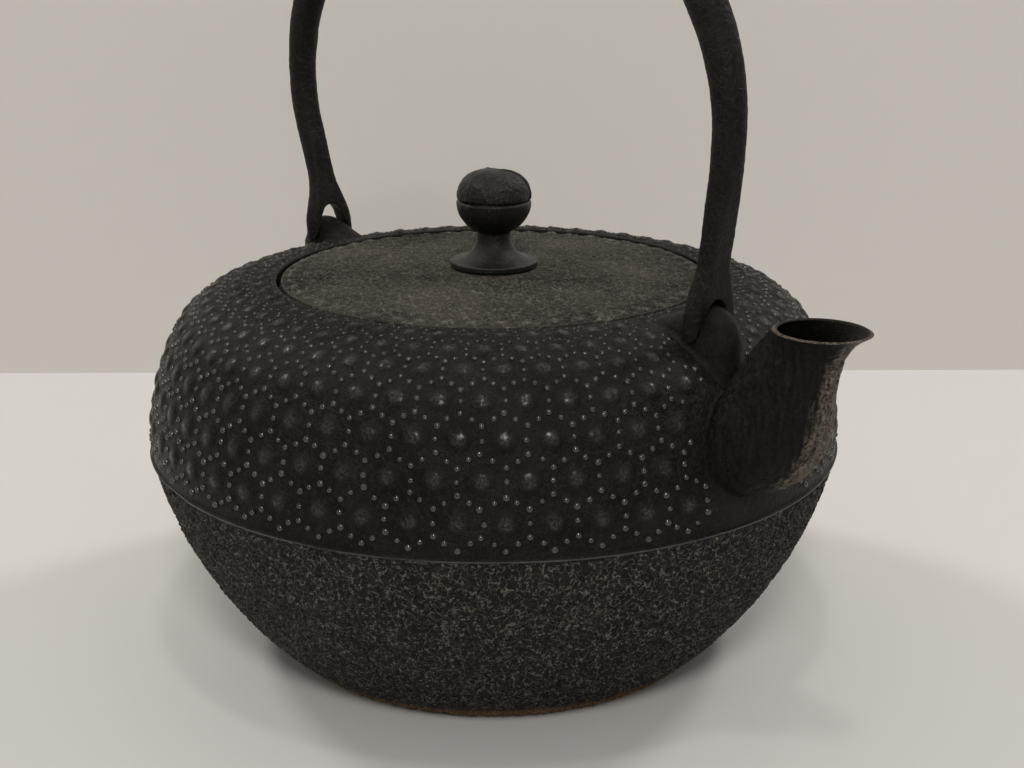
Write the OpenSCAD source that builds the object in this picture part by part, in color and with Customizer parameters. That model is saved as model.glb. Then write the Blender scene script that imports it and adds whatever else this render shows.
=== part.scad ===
// Cast-iron water kettle with a flush lid, a bud knob, a short spout and a forked bail.
// Millimetres. Origin at the centre of the flat base, +Z up, spout along +X.

/* [Body] */
// Radius of the flat base
base_r = 68.5; // [62:0.5:75]
// Largest radius of the body, at the casting seam
belly_r = 107; // [101:0.5:112]
// Height of the casting seam above the table
seam_z = 66; // [62:0.5:69]
// Height of the mouth rim above the table
rim_z = 116; // [113:0.5:119]
// Thickness of the cast wall
wall = 3.2; // [2.4:0.1:4.2]
// Thickness of the bottom
floor_t = 4; // [3:0.1:6]
// Lean of the bowl from upright just under the seam, in degrees
bowl_lean = 12; // [8:0.5:14]
// Radius of the arc above the seam, seen in section
side_arc_r = 75; // [70:1:80]
// Radius of the arc round the shoulder, seen in section
shoulder_arc_r = 24; // [20:0.5:27]
// Radius of the arc from the shoulder to the mouth, seen in section
top_arc_r = 58; // [54:1:64]
// Slope of the top at the mouth rim, in degrees
rim_slope = 2.5; // [1:0.5:4]
// Radius of the raised bead along the seam
seam_bead_r = 0.8; // [0.4:0.1:1.2]
// Number of pattern cells round the upper half
cells = 54; // [46:2:60]
// Height of the first row of cells above the seam, along the surface
pattern_up = 3; // [2:0.5:6]
// Height of the dome in a cell of the widest row
dome_h = 0.9; // [0.4:0.1:1.2]
// Share of a cell's width that its dome takes up
dome_share = 0.58; // [0.4:0.02:0.7]
// Width of the ledge that the lid rests on
ledge_w = 6; // [4.5:0.5:7]
// Thickness of that ledge
ledge_t = 3; // [2.5:0.1:4]

/* [Lid] */
// Radius of the lid
lid_r = 66; // [62:0.5:68]
// Gap round the lid
lid_gap = 0.9; // [0.5:0.1:1.4]
// Depth of the lid's edge below the mouth rim
lid_drop = 1.2; // [0.6:0.1:2.4]
// Thickness of the lid's edge
lid_edge_t = 3; // [2.4:0.1:4]
// Thickness of the lid's plate
lid_plate_t = 2.8; // [2.2:0.1:3.4]
// Rise of the lid from its edge to its centre
lid_rise = 3.3; // [1.8:0.1:4]
// Depth of the ring that locates the lid in the mouth
lid_ring_h = 4; // [2:0.5:6]
// Thickness of that ring
lid_ring_t = 2.6; // [2:0.1:3.5]
// Gap between that ring and the ledge
lid_ring_gap = 0.6; // [0.4:0.1:1]

/* [Knob] */
// Radius of the knob's foot
foot_r = 13.5; // [12:0.5:15]
// Height of the foot's upright edge
foot_h = 1.8; // [1.5:0.1:3]
// Width of the flat lip on top of the foot
foot_lip = 0.3; // [0.2:0.1:0.8]
// Radius of the knob's neck
neck_r = 5.1; // [4.4:0.1:6]
// Largest radius of the bud
bud_r = 11.6; // [10.5:0.1:13]
// Radius of the bud's lower half, seen in section
cup_round = 10.4; // [9.8:0.1:11]
// Radius of the bud's upper edge, seen in section
bud_round = 9.4; // [8.6:0.1:10.2]
// Height of the bud's straight side
bud_side_h = 0.4; // [0.2:0.1:2]
// Height of the groove between cup and petals, above the foot of the straight side
groove_up = 0.2; // [0:0.1:1]
// Radius of that groove
groove_r = 0.5; // [0.3:0.1:0.7]
// Width of the cuts between the petals
petal_cut_w = 0.7; // [0.5:0.1:1]
// Depth of the cuts between the petals
petal_cut_d = 0.8; // [0.5:0.1:1.2]
// Number of petals
petals = 3; // [3:1:6]
// Direction of the first cut between petals, in degrees from the spout
petal_turn = 22; // [0:1:119]
// Radius of the knob's stem
stem_r = 3; // [2.4:0.1:3.8]
// Radial clearance of the stem in the lid
stem_clear = 0.3; // [0.2:0.05:0.5]
// Play of the knob above and below the lid
knob_play = 0.3; // [0.2:0.05:0.5]
// Radius of the washer under the lid
washer_r = 8; // [7:0.5:10]
// Thickness of the washer
washer_t = 1.2; // [0.8:0.1:2]
// Radial clearance of the stem in the washer
washer_clear = 0.1; // [0.05:0.05:0.2]
// Radius of the stem's hammered-over end
peen_r = 4.6; // [4.2:0.1:6]
// Thickness of the hammered-over end
peen_t = 1.2; // [0.8:0.1:2]

/* [Lugs] */
// Distance of each lug's middle in from the belly
lug_x = 20; // [18:0.5:23]
// Length of a lug, outwards
lug_len = 25; // [22:0.5:27]
// Width of a lug, along the rim
lug_w = 15.4; // [14:0.2:16.4]
// Height of a lug's crown above the shoulder
lug_h = 10.6; // [9.8:0.2:12]
// How far a lug's crown leans outwards, and its foot inwards
lug_lean = 1.5; // [0:0.1:2.5]
// Height of the pin hole above the shoulder
pin_up = 4.3; // [3.8:0.1:4.7]
// Extra length and width of a lug at its foot
lug_flare = 1; // [0.4:0.2:1.6]

/* [Bail] */
// Diameter of the pins at the tips of the fork
pin_d = 4.2; // [3.4:0.2:4.8]
// Radial clearance of the pins in the lugs
pin_clear = 0.3; // [0.2:0.05:0.4]
// Length of a pin inside the lug
pin_len = 3; // [2:0.5:4]
// Diameter of the bail's legs
leg_d = 9.5; // [8.5:0.1:10.5]
// Diameter of the bail at its crown
crown_d = 13.5; // [11:0.5:16]
// How far the legs swing outwards above the lugs
bail_bulge = 8.6; // [6:0.2:11]
// Height of the widest place above the pins
bail_wide_h = 53; // [46:1:60]
// Rise of the arch above the widest place
bail_rise = 75; // [66:1:84]
// How far the arch stands back from the lugs
bail_back = 4; // [0:0.5:6]
// Width over the two prongs of a fork
fork_w = 18.6; // [17.8:0.2:20]
// Height of the fork's crotch above the pins
crotch_h = 9.4; // [8.8:0.2:11]
// Width of the fork's round crotch
crotch_w = 6; // [5:0.2:7.4]
// Width of the fork's opening at the pins
fork_gap = 13.2; // [12.8:0.1:14]
// Height at which a leg starts to widen into its fork, above the pins
fork_start = 20; // [17:0.5:23]
// Height at which a fork has its full width, above the pins
fork_full = 3; // [2:0.5:6]
// Length of the prongs below the pins
prong_tail = 2.6; // [2.4:0.1:3]
// Height at which the flats on a leg start, above the pins
flat_start = 49; // [40:1:56]
// Thickness of a leg across its flats, at the fork
flat_t = 6; // [5.4:0.1:7]
// Thickness of a prong at its tip
tip_t = 6.2; // [5.4:0.1:7]

/* [Spout] */
// Reach of the lip beyond the belly
spout_reach = 31.5; // [26:0.5:36]
// Height of the lip's tip above the table
lip_z = 123.3; // [119:0.1:128]
// Length of the mouth, outwards
mouth_len = 28.5; // [25:0.5:32]
// Width of the mouth
mouth_w = 19.4; // [17:0.2:22]
// How much lower the mouth is at its back
mouth_drop = 2.9; // [1:0.1:5]
// Height of the middle of the root above the table
root_z = 88; // [86:0.5:91]
// Height of the root where it leaves the body
root_h = 32.5; // [31:0.5:35]
// Width of the root
root_w = 35; // [32:0.5:37]
// Width to which the sides draw in below the mouth
neck_w = 12.6; // [11.6:0.2:14]
// Swell of the spout's underside beyond the belly
chin_out = 36; // [32:0.5:39]
// Height of that swell above the foot of the root
chin_up = 9.5; // [7:0.5:13]
// Reach of the neck beyond the belly
neck_out = 9.5; // [7:0.5:12]
// Depth of the neck below the lip
neck_drop = 11.5; // [9:0.5:14]
// Wall thickness of the spout
spout_wall = 2.6; // [2:0.1:3.2]
// Thickness of the lip
lip_t = 1.5; // [1.2:0.1:2.2]
// Radius of the hole from the body into the spout
port_r = 9; // [7:0.5:10]

/* [Hidden] */
$fn = 96;

// Gap at which pieces of one body are seated on each other
seat_gap = 0.1;
// Steps along each arc of the surface that pieces are seated on
seat_steps = 8;
// Gap between the lid and its ledge
lid_seat_gap = 0.3;
// How far a cutting tool runs past the face that it cuts
over = 1;
// Facets round the flat arc of the lid
dome_facets = 720;

// Colours
iron_black = "#2a2623";
iron_brown = "#3a322c";
iron_grey = "#4b453e";
lacquer_black = "#1d1b1b";
forged_black = "#26221f";

// Body outline: tangent arcs round the upper half, one arc down to the base
rim_r = lid_r + lid_gap;
side_c = [belly_r - side_arc_r, seam_z];
top_c = [rim_r - top_arc_r * sin(rim_slope), rim_z - top_arc_r * cos(rim_slope)];
shoulder_c = arc_meet(side_c, side_arc_r - shoulder_arc_r, top_c, top_arc_r - shoulder_arc_r);
side_end = angle_of(shoulder_c - side_c);
shoulder_end = angle_of(shoulder_c - top_c);
rim_end = 90 - rim_slope;
bowl_arc_r = bowl_radius([belly_r, seam_z], [base_r, 0]);
base_lean = -angle_of([base_r, 0] - bowl_centre([belly_r, seam_z], bowl_arc_r));

// Bead pattern: rows of hexagons by distance along the outline from the seam
side_len = arc_len(side_arc_r, side_end);
shoulder_len = arc_len(shoulder_arc_r, shoulder_end - side_end);
upper_len = side_len + shoulder_len + arc_len(top_arc_r, rim_end - shoulder_end);
rows = cell_rows(pattern_up + cell_side(0) / 2);
row_count = len(rows);
// Share of a dome's height that the edge of its top has
dome_edge = 0.7;
// How far the skin of the upper half starts above the seam, and how deep it is rooted below it
skin_up = 0.3;
skin_root = 2;

// Lid levels
lid_edge_z = rim_z - lid_drop;
lid_under_z = lid_edge_z - lid_edge_t;
ledge_z = lid_under_z - lid_seat_gap;
ledge_r = rim_r - ledge_w;
lid_ring_r = ledge_r - lid_ring_gap;
lid_top_z = lid_edge_z + lid_rise;
lid_dome_r = (pow(lid_r, 2) + pow(lid_rise, 2)) / (2 * lid_rise);

// Knob levels
knob_z = lid_top_z + knob_play;
flare_r = foot_r - foot_lip - neck_r;
cup_z = foot_h + flare_r + cup_round;
bud_z = cup_z + bud_side_h;
washer_z = lid_top_z - lid_plate_t - knob_play - washer_t;

// Lug and pin levels
lug_mid = belly_r - lug_x;
shoulder_z = outline_z(lug_mid);
pin_z = shoulder_z + pin_up;
// How far a lug's foot starts below the surface at its outer end
lug_sink = 2;
lug_foot_z = outline_z(lug_mid + lug_len / 2 - lug_lean) - lug_sink;
// Power by which a lug draws in towards its crown
lug_taper = 0.6;
lug_sides = 24;
lug_rings = 7;
// Place of the topmost ring of a lug, in steps from its crown
lug_top_ring = 0.3;

// Bail stations, from the tip of the rear fork over the crown to the tip of the front one
leg_r = leg_d / 2;
leg_steps = 14;
arch_steps = 24;
bail_sides = 20;
// Power that crowds the rings of a leg towards its fork
fork_crowding = 1.4;
// Half of the height over which the direction of a leg is measured
leg_probe = 0.5;
arch_z = pin_z + bail_wide_h;
arch_half = lug_mid + bail_bulge;

// Spout stations, from inside the body wall to the lip
spout_steps = 10;
spout_sides = 24;
// How far the underside and the back of the spout start inside the belly
root_sink = 7;
back_sink = 10.5;
lip = [belly_r + spout_reach, lip_z];
chin_line = [
    [belly_r - root_sink, root_z - root_h / 2],
    [belly_r + chin_out, root_z - root_h / 2 + chin_up],
    [belly_r + neck_out, lip_z - neck_drop],
    lip
];
back_lip = [lip[0] - mouth_len, lip_z - mouth_drop];
back_root = [belly_r - back_sink, root_z + root_h / 2 - root_sink];
// How far the back of the spout sags below a straight line
back_sag = [1, -1];
back_line = [
    back_root,
    mix(back_root, back_lip, 1 / 3) + back_sag,
    mix(back_root, back_lip, 2 / 3) + back_sag,
    back_lip
];
width_line = [root_w, root_w, neck_w, mouth_w] / 2;

function angle_of(v) = atan2(v[1], v[0]);
function turn(a) = [cos(a), sin(a)];
function clamp01(t) = max(0, min(1, t));
function ease(t) = let (u = clamp01(t)) u * u * (3 - 2 * u);
function mix(a, b, t) = a + (b - a) * t;
function arc_len(r, a) = PI * r * a / 180;
function arc_angle(r, length) = 180 * length / (PI * r);

// The upper one of the two points at distance r0 from c0 and r1 from c1
function arc_meet(c0, r0, c1, r1) =
    let (
        d = norm(c1 - c0),
        along = (r0 * r0 - r1 * r1 + d * d) / (2 * d),
        across = sqrt(r0 * r0 - along * along),
        e = (c1 - c0) / d
    )
    c0 + along * e + across * [-e[1], e[0]];

// Radius and centre of the bowl's arc from the seam point to the base point
function bowl_radius(top, foot) =
    let (d = top - foot) (d * d) / (2 * (d[0] * cos(bowl_lean) - d[1] * sin(bowl_lean)));
function bowl_centre(top, r) = top + r * [-cos(bowl_lean), sin(bowl_lean)];

// Height of the outer surface of the upper half at a distance from the axis
function outline_z(r) =
    r > side_c[0] + side_arc_r * cos(side_end) ? arc_z(side_c, side_arc_r, r)
    : r > top_c[0] + top_arc_r * cos(shoulder_end) ? arc_z(shoulder_c, shoulder_arc_r, r)
    : arc_z(top_c, top_arc_r, r);
function arc_z(c, arc_r, r) = c[1] + sqrt(arc_r * arc_r - pow(r - c[0], 2));

// Point on a curve with four control points
function curve(p, t) =
    pow(1 - t, 3) * p[0] + 3 * t * pow(1 - t, 2) * p[1] + 3 * t * t * (1 - t) * p[2] + pow(t, 3) * p[3];

// A closed skin over rings that all have the same number of points
module skin(rings) {
    n = len(rings[0]);
    last = len(rings) - 1;
    points = [for (ring = rings) each ring];
    sides = [
        for (k = [0:last - 1], i = [0:n - 1])
        let (a = k * n + i, b = k * n + (i + 1) % n)
        each [[a, a + n, b], [b, a + n, b + n]]
    ];
    first_cap = [for (i = [0:n - 1]) i];
    last_cap = [for (i = [n - 1:-1:0]) last * n + i];
    polyhedron(points, concat([first_cap], sides, [last_cap]));
}

module pie(c, r, a0, a1) {
    intersection() {
        translate(c) circle(r);
        polygon([c, c + 2 * r * turn(a0), c + 2 * r * turn(a1)]);
    }
}

// The body's outline drawn in by a distance, down to a floor height
module body_outline(inset, floor_z) {
    seam = [belly_r - inset, seam_z];
    foot = [base_r + floor_z * tan(base_lean) - inset / cos(base_lean), floor_z];
    bowl_r = bowl_radius(seam, foot);
    bowl_c = bowl_centre(seam, bowl_r);
    intersection() {
        pie(bowl_c, bowl_r, angle_of(foot - bowl_c), -bowl_lean);
        translate([0, floor_z]) square([belly_r - inset, seam_z - floor_z]);
    }
    pie(side_c, side_arc_r - inset, 0, side_end);
    pie(shoulder_c, shoulder_arc_r - inset, side_end, shoulder_end);
    pie(top_c, top_arc_r - inset, shoulder_end, rim_end);
    rim = top_c + (top_arc_r - inset) * turn(rim_end);
    polygon([
        [0, floor_z], foot, seam,
        side_c + (side_arc_r - inset) * turn(side_end),
        shoulder_c + (shoulder_arc_r - inset) * turn(shoulder_end),
        rim, [0, rim[1]]
    ]);
}

// Points along an arc of the body's outline, moved out by the gap of a seat
function seat_arc(c, r, a0, a1) =
    [for (k = [0:seat_steps - 1]) c + (r + seat_gap) * turn(mix(a0, a1, k / seat_steps))];

// The filled body, a little larger, for seating pieces on its surface
module body_seat() {
    bowl_c = bowl_centre([belly_r, seam_z], bowl_arc_r);
    rim = top_c + (top_arc_r + seat_gap) * turn(rim_end);
    rotate_extrude() polygon(concat(
        [[0, 0]],
        seat_arc(bowl_c, bowl_arc_r, -base_lean, -bowl_lean),
        seat_arc(side_c, side_arc_r, 0, side_end),
        seat_arc(shoulder_c, shoulder_arc_r, side_end, shoulder_end),
        seat_arc(top_c, top_arc_r, shoulder_end, rim_end),
        [rim, [0, rim[1]]]
    ));
}

// Point on the outline of the upper half at a distance from the seam, moved out
function outline_at(way, out) =
    way < side_len ? side_c + (side_arc_r + out) * turn(arc_angle(side_arc_r, way))
    : way < side_len + shoulder_len ?
        shoulder_c + (shoulder_arc_r + out) * turn(side_end + arc_angle(shoulder_arc_r, way - side_len))
    : top_c + (top_arc_r + out) * turn(shoulder_end + arc_angle(top_arc_r, way - side_len - shoulder_len));

// Side of a cell at a distance from the seam, and the levels of the upright sides of each row
function cell_side(way) = 2 * PI * outline_at(way, 0)[0] / cells / sqrt(3);
function cell_rows(low) =
    let (side = cell_side(low), next = low + 1.5 * side)
    next > upper_len ? [] : concat([[low, low + side]], cell_rows(next));

// Every other row is turned by half a cell
function row_shift(j) = (j % 2) / 2;

// Point on the upper half at a distance from the seam and a turn counted in cells
function on_body(way, turns, out) =
    let (p = outline_at(way, out), a = 360 * turns / cells)
    [p[0] * cos(a), p[0] * sin(a), p[1]];

// True where a lug or the spout stands on the body, with room for a dome beside it
function is_covered(p, room) =
    (abs(abs(p[0]) - lug_mid) < lug_len / 2 + lug_lean + room && abs(p[1]) < lug_w / 2 + lug_flare + room)
    || (p[0] > 0 && abs(p[1]) < root_w / 2 + room && p[2] < root_z + root_h / 2);

// The raised points of one cell: the edge of its dome's top, clockwise from below, then its crown
function dome_points(j, i) =
    let (
        side = rows[j][1] - rows[j][0],
        middle = (rows[j][0] + rows[j][1]) / 2,
        turns = i + row_shift(j),
        reach = side * dome_share,
        half = dome_share / 2,
        h = is_covered(on_body(middle, turns, 0), reach) ? 0 : dome_h * side / cell_side(0),
        ring = [[-1, 0], [-0.5, -1], [0.5, -1], [1, 0], [0.5, 1], [-0.5, 1]]
    )
    concat(
        [for (q = ring) on_body(middle + q[0] * reach, turns + q[1] * half, h * dome_edge)],
        [on_body(middle, turns, h)]
    );

// Number of a cell's corner in the list of corners, and the six corners round a cell
function corner(ring, i) = ring * cells + (i + cells) % cells;
function cell_corners(j, i) =
    [
        corner(2 * j, j % 2 == 0 && j > 0 ? i - 1 : i),
        corner(2 * j + 1, i - 1),
        corner(2 * j + 2, i - 1),
        corner(2 * j + 3, j % 2 == 0 && j < row_count - 1 ? i - 1 : i),
        corner(2 * j + 2, i),
        corner(2 * j + 1, i)
    ];

// Points of a level ring that stands in step with both the corners and the middles of a row
function level_ring(r, z, shift) =
    [for (k = [0:2 * cells - 1]) let (a = 180 * k / cells + 360 * shift / cells) [r * cos(a), r * sin(a), z]];

// The filled upper half with a low dome in each cell of the bead pattern
module arare_half() {
    top_row = row_count - 1;
    top_way = rows[top_row][1] + (rows[top_row][1] - rows[top_row][0]) / 2;
    corners = concat(
        [for (i = [0:cells - 1]) on_body(pattern_up, i, 0)],
        [for (j = [0:top_row], way = rows[j], i = [0:cells - 1]) on_body(way, i + 0.5 + row_shift(j), 0)],
        [for (i = [0:cells - 1]) on_body(top_way, i + row_shift(top_row), 0)]
    );
    domes = [for (j = [0:top_row], i = [0:cells - 1]) each dome_points(j, i)];
    start = outline_at(skin_up, 0);
    edge = level_ring(start[0], start[1], 0);
    root = level_ring(belly_r - skin_root, seam_z - skin_root, 0);
    crown = level_ring(rim_r - over, rim_z, row_shift(top_row));

    n = 2 * cells;
    first_dome = len(corners);
    first_edge = first_dome + len(domes);
    first_root = first_edge + n;
    first_crown = first_root + n;
    top_ring = 2 * row_count + 1;
    low_zigzag = [for (k = [0:n - 1]) k % 2 == 0 ? corner(0, k / 2) : corner(1, (k - 1) / 2)];
    high_zigzag = [
        for (k = [0:n - 1]) k % 2 == 0 ? corner(top_ring, k / 2) : corner(top_ring - 1, (k - 1) / 2)
    ];
    cell_faces = [
        for (j = [0:top_row], i = [0:cells - 1])
        let (c = cell_corners(j, i), d = first_dome + 7 * (j * cells + i))
        for (k = [0:5])
        let (m = (k + 1) % 6)
        each [[c[k], c[m], d + m], [c[k], d + m, d + k], [d + 6, d + k, d + m]]
    ];
    band_faces = [
        for (k = [0:n - 1])
        let (m = (k + 1) % n)
        each [
            [first_root + k, first_edge + k, first_edge + m],
            [first_root + k, first_edge + m, first_root + m],
            [first_edge + k, low_zigzag[k], low_zigzag[m]],
            [first_edge + k, low_zigzag[m], first_edge + m],
            [high_zigzag[k], first_crown + k, first_crown + m],
            [high_zigzag[k], first_crown + m, high_zigzag[m]]
        ]
    ];
    floor_face = [for (k = [0:n - 1]) first_root + k];
    crown_face = [for (k = [n - 1:-1:0]) first_crown + k];
    polyhedron(
        concat(corners, domes, edge, root, crown),
        concat(cell_faces, band_faces, [floor_face, crown_face])
    );
}

// The filled lower half with the bead along the seam
module bowl_section() {
    intersection() {
        body_outline(0, 0);
        square([belly_r + over, seam_z]);
    }
    translate([belly_r, seam_z]) circle(seam_bead_r);
}

// The hollow, the passage inside the ledge and the seat of the lid
module hollow_section() {
    intersection() {
        body_outline(wall, floor_t);
        square([belly_r, ledge_z - ledge_t]);
    }
    translate([0, seam_z]) square([ledge_r, rim_z]);
    translate([0, ledge_z]) square([rim_r, rim_z]);
}

module kettle_body() {
    color(iron_black)
    difference() {
        union() {
            rotate_extrude() bowl_section();
            arare_half();
        }
        rotate_extrude() hollow_section();
        translate([ledge_r, 0, root_z])
            rotate([0, 90, 0]) cylinder(r = port_r, h = belly_r + over - ledge_r);
    }
}

// One oval ring of the spout; trim is the wall taken off it
function spout_ring(t, trim) =
    let (
        low = curve(chin_line, t),
        high = curve(back_line, t),
        middle = (low + high) / 2,
        half = (low - high) / 2 * (1 - trim / (norm(low - high) / 2)),
        w = curve(width_line, t) - trim
    )
    [for (i = [0:spout_sides - 1])
        let (a = 360 * i / spout_sides, p = middle + half * cos(a))
        [p[0], w * sin(a), p[1]]];

module spout() {
    steps = [for (k = [0:spout_steps]) k / spout_steps];
    outside = [for (t = steps) spout_ring(t, 0)];
    bore = [for (t = steps) spout_ring(t, mix(spout_wall, lip_t, ease(t)))];
    lip_normal = let (d = lip - back_lip) [-d[1], 0, d[0]] / norm(d);
    mouth = [for (p = bore[spout_steps]) p + over * lip_normal];
    color(iron_brown)
    difference() {
        skin(outside);
        skin(concat(bore, [mouth]));
        body_seat();
    }
}

// Share of a lug's height that lies above a level
function lug_share(z) = clamp01((shoulder_z + lug_h - z) / lug_h);

// Half length and half width of a lug at a height, with its flare below the shoulder
function lug_half(z) =
    [lug_len, lug_w] / 2 * pow(lug_share(z), lug_taper)
    + lug_flare * clamp01((shoulder_z - z) / (shoulder_z - lug_foot_z)) * [1, 1];

module lug(side) {
    heights = concat(
        [lug_foot_z, mix(lug_foot_z, shoulder_z, 0.5)],
        [for (k = [lug_rings:-1:0]) shoulder_z + lug_h * (1 - pow(max(k, lug_top_ring) / lug_rings, 2))]
    );
    rings = [
        for (z = heights)
        let (half = lug_half(z), middle = lug_mid + lug_lean * (1 - 2 * lug_share(z)))
        [for (i = [0:lug_sides - 1])
            let (a = -360 * i / lug_sides)
            [side * middle + half[0] * cos(a), half[1] * sin(a), z]]
    ];
    difference() {
        skin(rings);
        translate([side * lug_mid, 0, pin_z])
            rotate([90, 0, 0]) cylinder(d = pin_d + 2 * pin_clear, h = 2 * lug_w, center = true);
        body_seat();
    }
}

module front_lug() {
    color(iron_black) lug(1);
}

module rear_lug() {
    color(iron_black) lug(-1);
}

// Centre line of the bail in its upright plane, on one side and set back towards the rear
function bail_point(side, up) =
    [side * (lug_mid + bail_bulge * ease(up / bail_wide_h)) - bail_back * ease(up / bail_wide_h), pin_z + up];
function arch_point(a) = [-bail_back - arch_half * cos(a), arch_z + bail_rise * sin(a)];

// Half sizes at a height on a leg: thickness limit across the flats, then width along the rim
function leg_flat(up) =
    up > fork_start ? mix(leg_r, flat_t / 2, clamp01((flat_start - up) / (flat_start - fork_start)))
    : mix(flat_t / 2, tip_t / 2, clamp01((fork_start - up) / fork_start));
function leg_width(up) = mix(leg_r, fork_w / 2, ease((fork_start - up) / (fork_start - fork_full)));

// One ring across the bail
function bail_ring(centre, inward, r, flat, w) =
    [for (i = [0:bail_sides - 1])
        let (
            a = 360 * i / bail_sides,
            u = max(-flat, min(flat, r * cos(a))),
            p = centre + u * inward
        )
        [p[0], w * sin(a), p[1]]];

function leg_ring(side, up) =
    let (
        d = bail_point(side, up + leg_probe) - bail_point(side, up - leg_probe),
        inward = -side * [d[1], -d[0]] / norm(d),
        flat = leg_flat(up),
        r = up > -prong_tail ? leg_r : flat
    )
    bail_ring(bail_point(side, up), inward, r, flat, leg_width(up));

function arch_ring(a) =
    let (
        d = [arch_half * sin(a), bail_rise * cos(a)],
        inward = [d[1], -d[0]] / norm(d),
        r = mix(leg_r, crown_d / 2, sin(a))
    )
    bail_ring(arch_point(a), inward, r, r, r);

// The opening between the prongs, drawn across the leg
module fork_opening() {
    crotch_z = crotch_h - crotch_w / 2;
    spread = (fork_gap - crotch_w) / 2 / crotch_z;
    foot = -2 * prong_tail;
    translate([0, crotch_z]) circle(d = crotch_w);
    polygon([
        [crotch_w / 2, crotch_z], [-crotch_w / 2, crotch_z],
        [-crotch_w / 2 - spread * (crotch_z - foot), foot],
        [crotch_w / 2 + spread * (crotch_z - foot), foot]
    ]);
}

module bail_handle() {
    leg_ups = [
        for (k = [0:leg_steps - 1])
        mix(-prong_tail, bail_wide_h, pow(k / leg_steps, fork_crowding))
    ];
    rear = [for (up = leg_ups) leg_ring(-1, up)];
    arch = [for (k = [0:arch_steps]) arch_ring(180 * k / arch_steps)];
    front = [for (k = [leg_steps - 1:-1:0]) leg_ring(1, leg_ups[k])];
    pin_root = (fork_w + fork_gap) / 4;
    pin_tip = lug_w / 2 * pow((lug_h - pin_up) / lug_h, lug_taper) - pin_len;
    color(forged_black) {
        difference() {
            skin(concat(rear, arch, front));
            for (side = [-1, 1])
                translate([side * lug_mid, 0, pin_z])
                    rotate([90, 0, 90]) linear_extrude(lug_len, center = true) fork_opening();
        }
        for (side = [-1, 1], face = [-1, 1])
            translate([side * lug_mid, face * (pin_tip + pin_root) / 2, pin_z])
                rotate([90, 0, 0]) cylinder(d = pin_d, h = pin_root - pin_tip, center = true);
    }
}

module lid_section() {
    difference() {
        intersection() {
            translate([0, lid_under_z]) square([lid_r, lid_edge_t + lid_rise]);
            translate([0, lid_top_z - lid_dome_r]) circle(lid_dome_r, $fn = dome_facets);
        }
        intersection() {
            square([lid_ring_r - lid_ring_t, lid_top_z]);
            translate([0, lid_top_z - lid_dome_r]) circle(lid_dome_r - lid_plate_t, $fn = dome_facets);
        }
    }
    translate([lid_ring_r - lid_ring_t, lid_under_z - lid_ring_h])
        square([lid_ring_t, lid_ring_h + lid_edge_t / 2]);
}

module lid_plate() {
    color(iron_grey)
    difference() {
        rotate_extrude() lid_section();
        translate([0, 0, lid_under_z])
            cylinder(r = stem_r + stem_clear, h = lid_edge_t + lid_rise + over);
    }
}

// Foot and flared neck of the knob
module knob_foot() {
    square([foot_r, foot_h]);
    difference() {
        square([foot_r - foot_lip, foot_h + flare_r]);
        translate([foot_r - foot_lip, foot_h + flare_r]) circle(flare_r);
    }
    square([neck_r, cup_z]);
}

// Bud of the knob, drawn in by a distance
module bud_outline(inset) {
    intersection() {
        union() {
            translate([bud_r - cup_round, cup_z]) circle(cup_round - inset);
            translate([bud_r - bud_round, bud_z]) circle(bud_round - inset);
            translate([0, cup_z]) square([bud_r - inset, bud_side_h]);
            translate([0, bud_z]) square([bud_r - bud_round, bud_round - inset]);
        }
        square([bud_r, bud_z + bud_round]);
    }
}

// Cuts that part the petals, from the groove to the top
module petal_cuts() {
    difference() {
        for (k = [0:petals - 1])
            rotate(petal_turn + 360 * k / petals)
                translate([petal_cut_d, -petal_cut_w / 2, cup_z + groove_up])
                    cube([bud_r, petal_cut_w, bud_side_h + bud_round]);
        rotate_extrude() bud_outline(petal_cut_d);
    }
}

module lid_knob() {
    color(lacquer_black)
    translate([0, 0, knob_z]) {
        difference() {
            rotate_extrude() difference() {
                union() {
                    knob_foot();
                    bud_outline(0);
                }
                translate([bud_r, cup_z + groove_up]) circle(groove_r);
            }
            petal_cuts();
        }
        translate([0, 0, washer_z - knob_z]) cylinder(r = stem_r, h = knob_z - washer_z + foot_h / 2);
        translate([0, 0, washer_z - knob_z - peen_t]) cylinder(r = peen_r, h = peen_t);
    }
}

module knob_washer() {
    color(iron_grey)
    translate([0, 0, washer_z])
    difference() {
        cylinder(r = washer_r, h = washer_t);
        translate([0, 0, -over]) cylinder(r = stem_r + washer_clear, h = washer_t + 2 * over);
    }
}

kettle_body();
spout();
front_lug();
rear_lug();
bail_handle();
lid_plate();
lid_knob();
knob_washer();
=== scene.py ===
import math

import bmesh
import bpy
import numpy as np
from mathutils import Euler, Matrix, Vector, noise


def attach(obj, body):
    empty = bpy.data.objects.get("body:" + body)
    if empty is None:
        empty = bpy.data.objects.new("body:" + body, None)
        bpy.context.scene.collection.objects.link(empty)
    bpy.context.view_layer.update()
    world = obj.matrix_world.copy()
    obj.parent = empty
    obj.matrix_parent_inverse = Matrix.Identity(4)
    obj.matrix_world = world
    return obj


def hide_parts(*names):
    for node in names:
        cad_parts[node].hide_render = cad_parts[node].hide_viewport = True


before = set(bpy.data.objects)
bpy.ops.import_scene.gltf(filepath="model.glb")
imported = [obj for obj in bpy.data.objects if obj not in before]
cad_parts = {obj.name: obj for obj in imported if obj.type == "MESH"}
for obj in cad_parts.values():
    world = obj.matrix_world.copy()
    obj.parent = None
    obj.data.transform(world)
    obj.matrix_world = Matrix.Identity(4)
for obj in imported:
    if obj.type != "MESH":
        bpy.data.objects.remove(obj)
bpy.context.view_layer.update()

MM = 0.001

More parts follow.
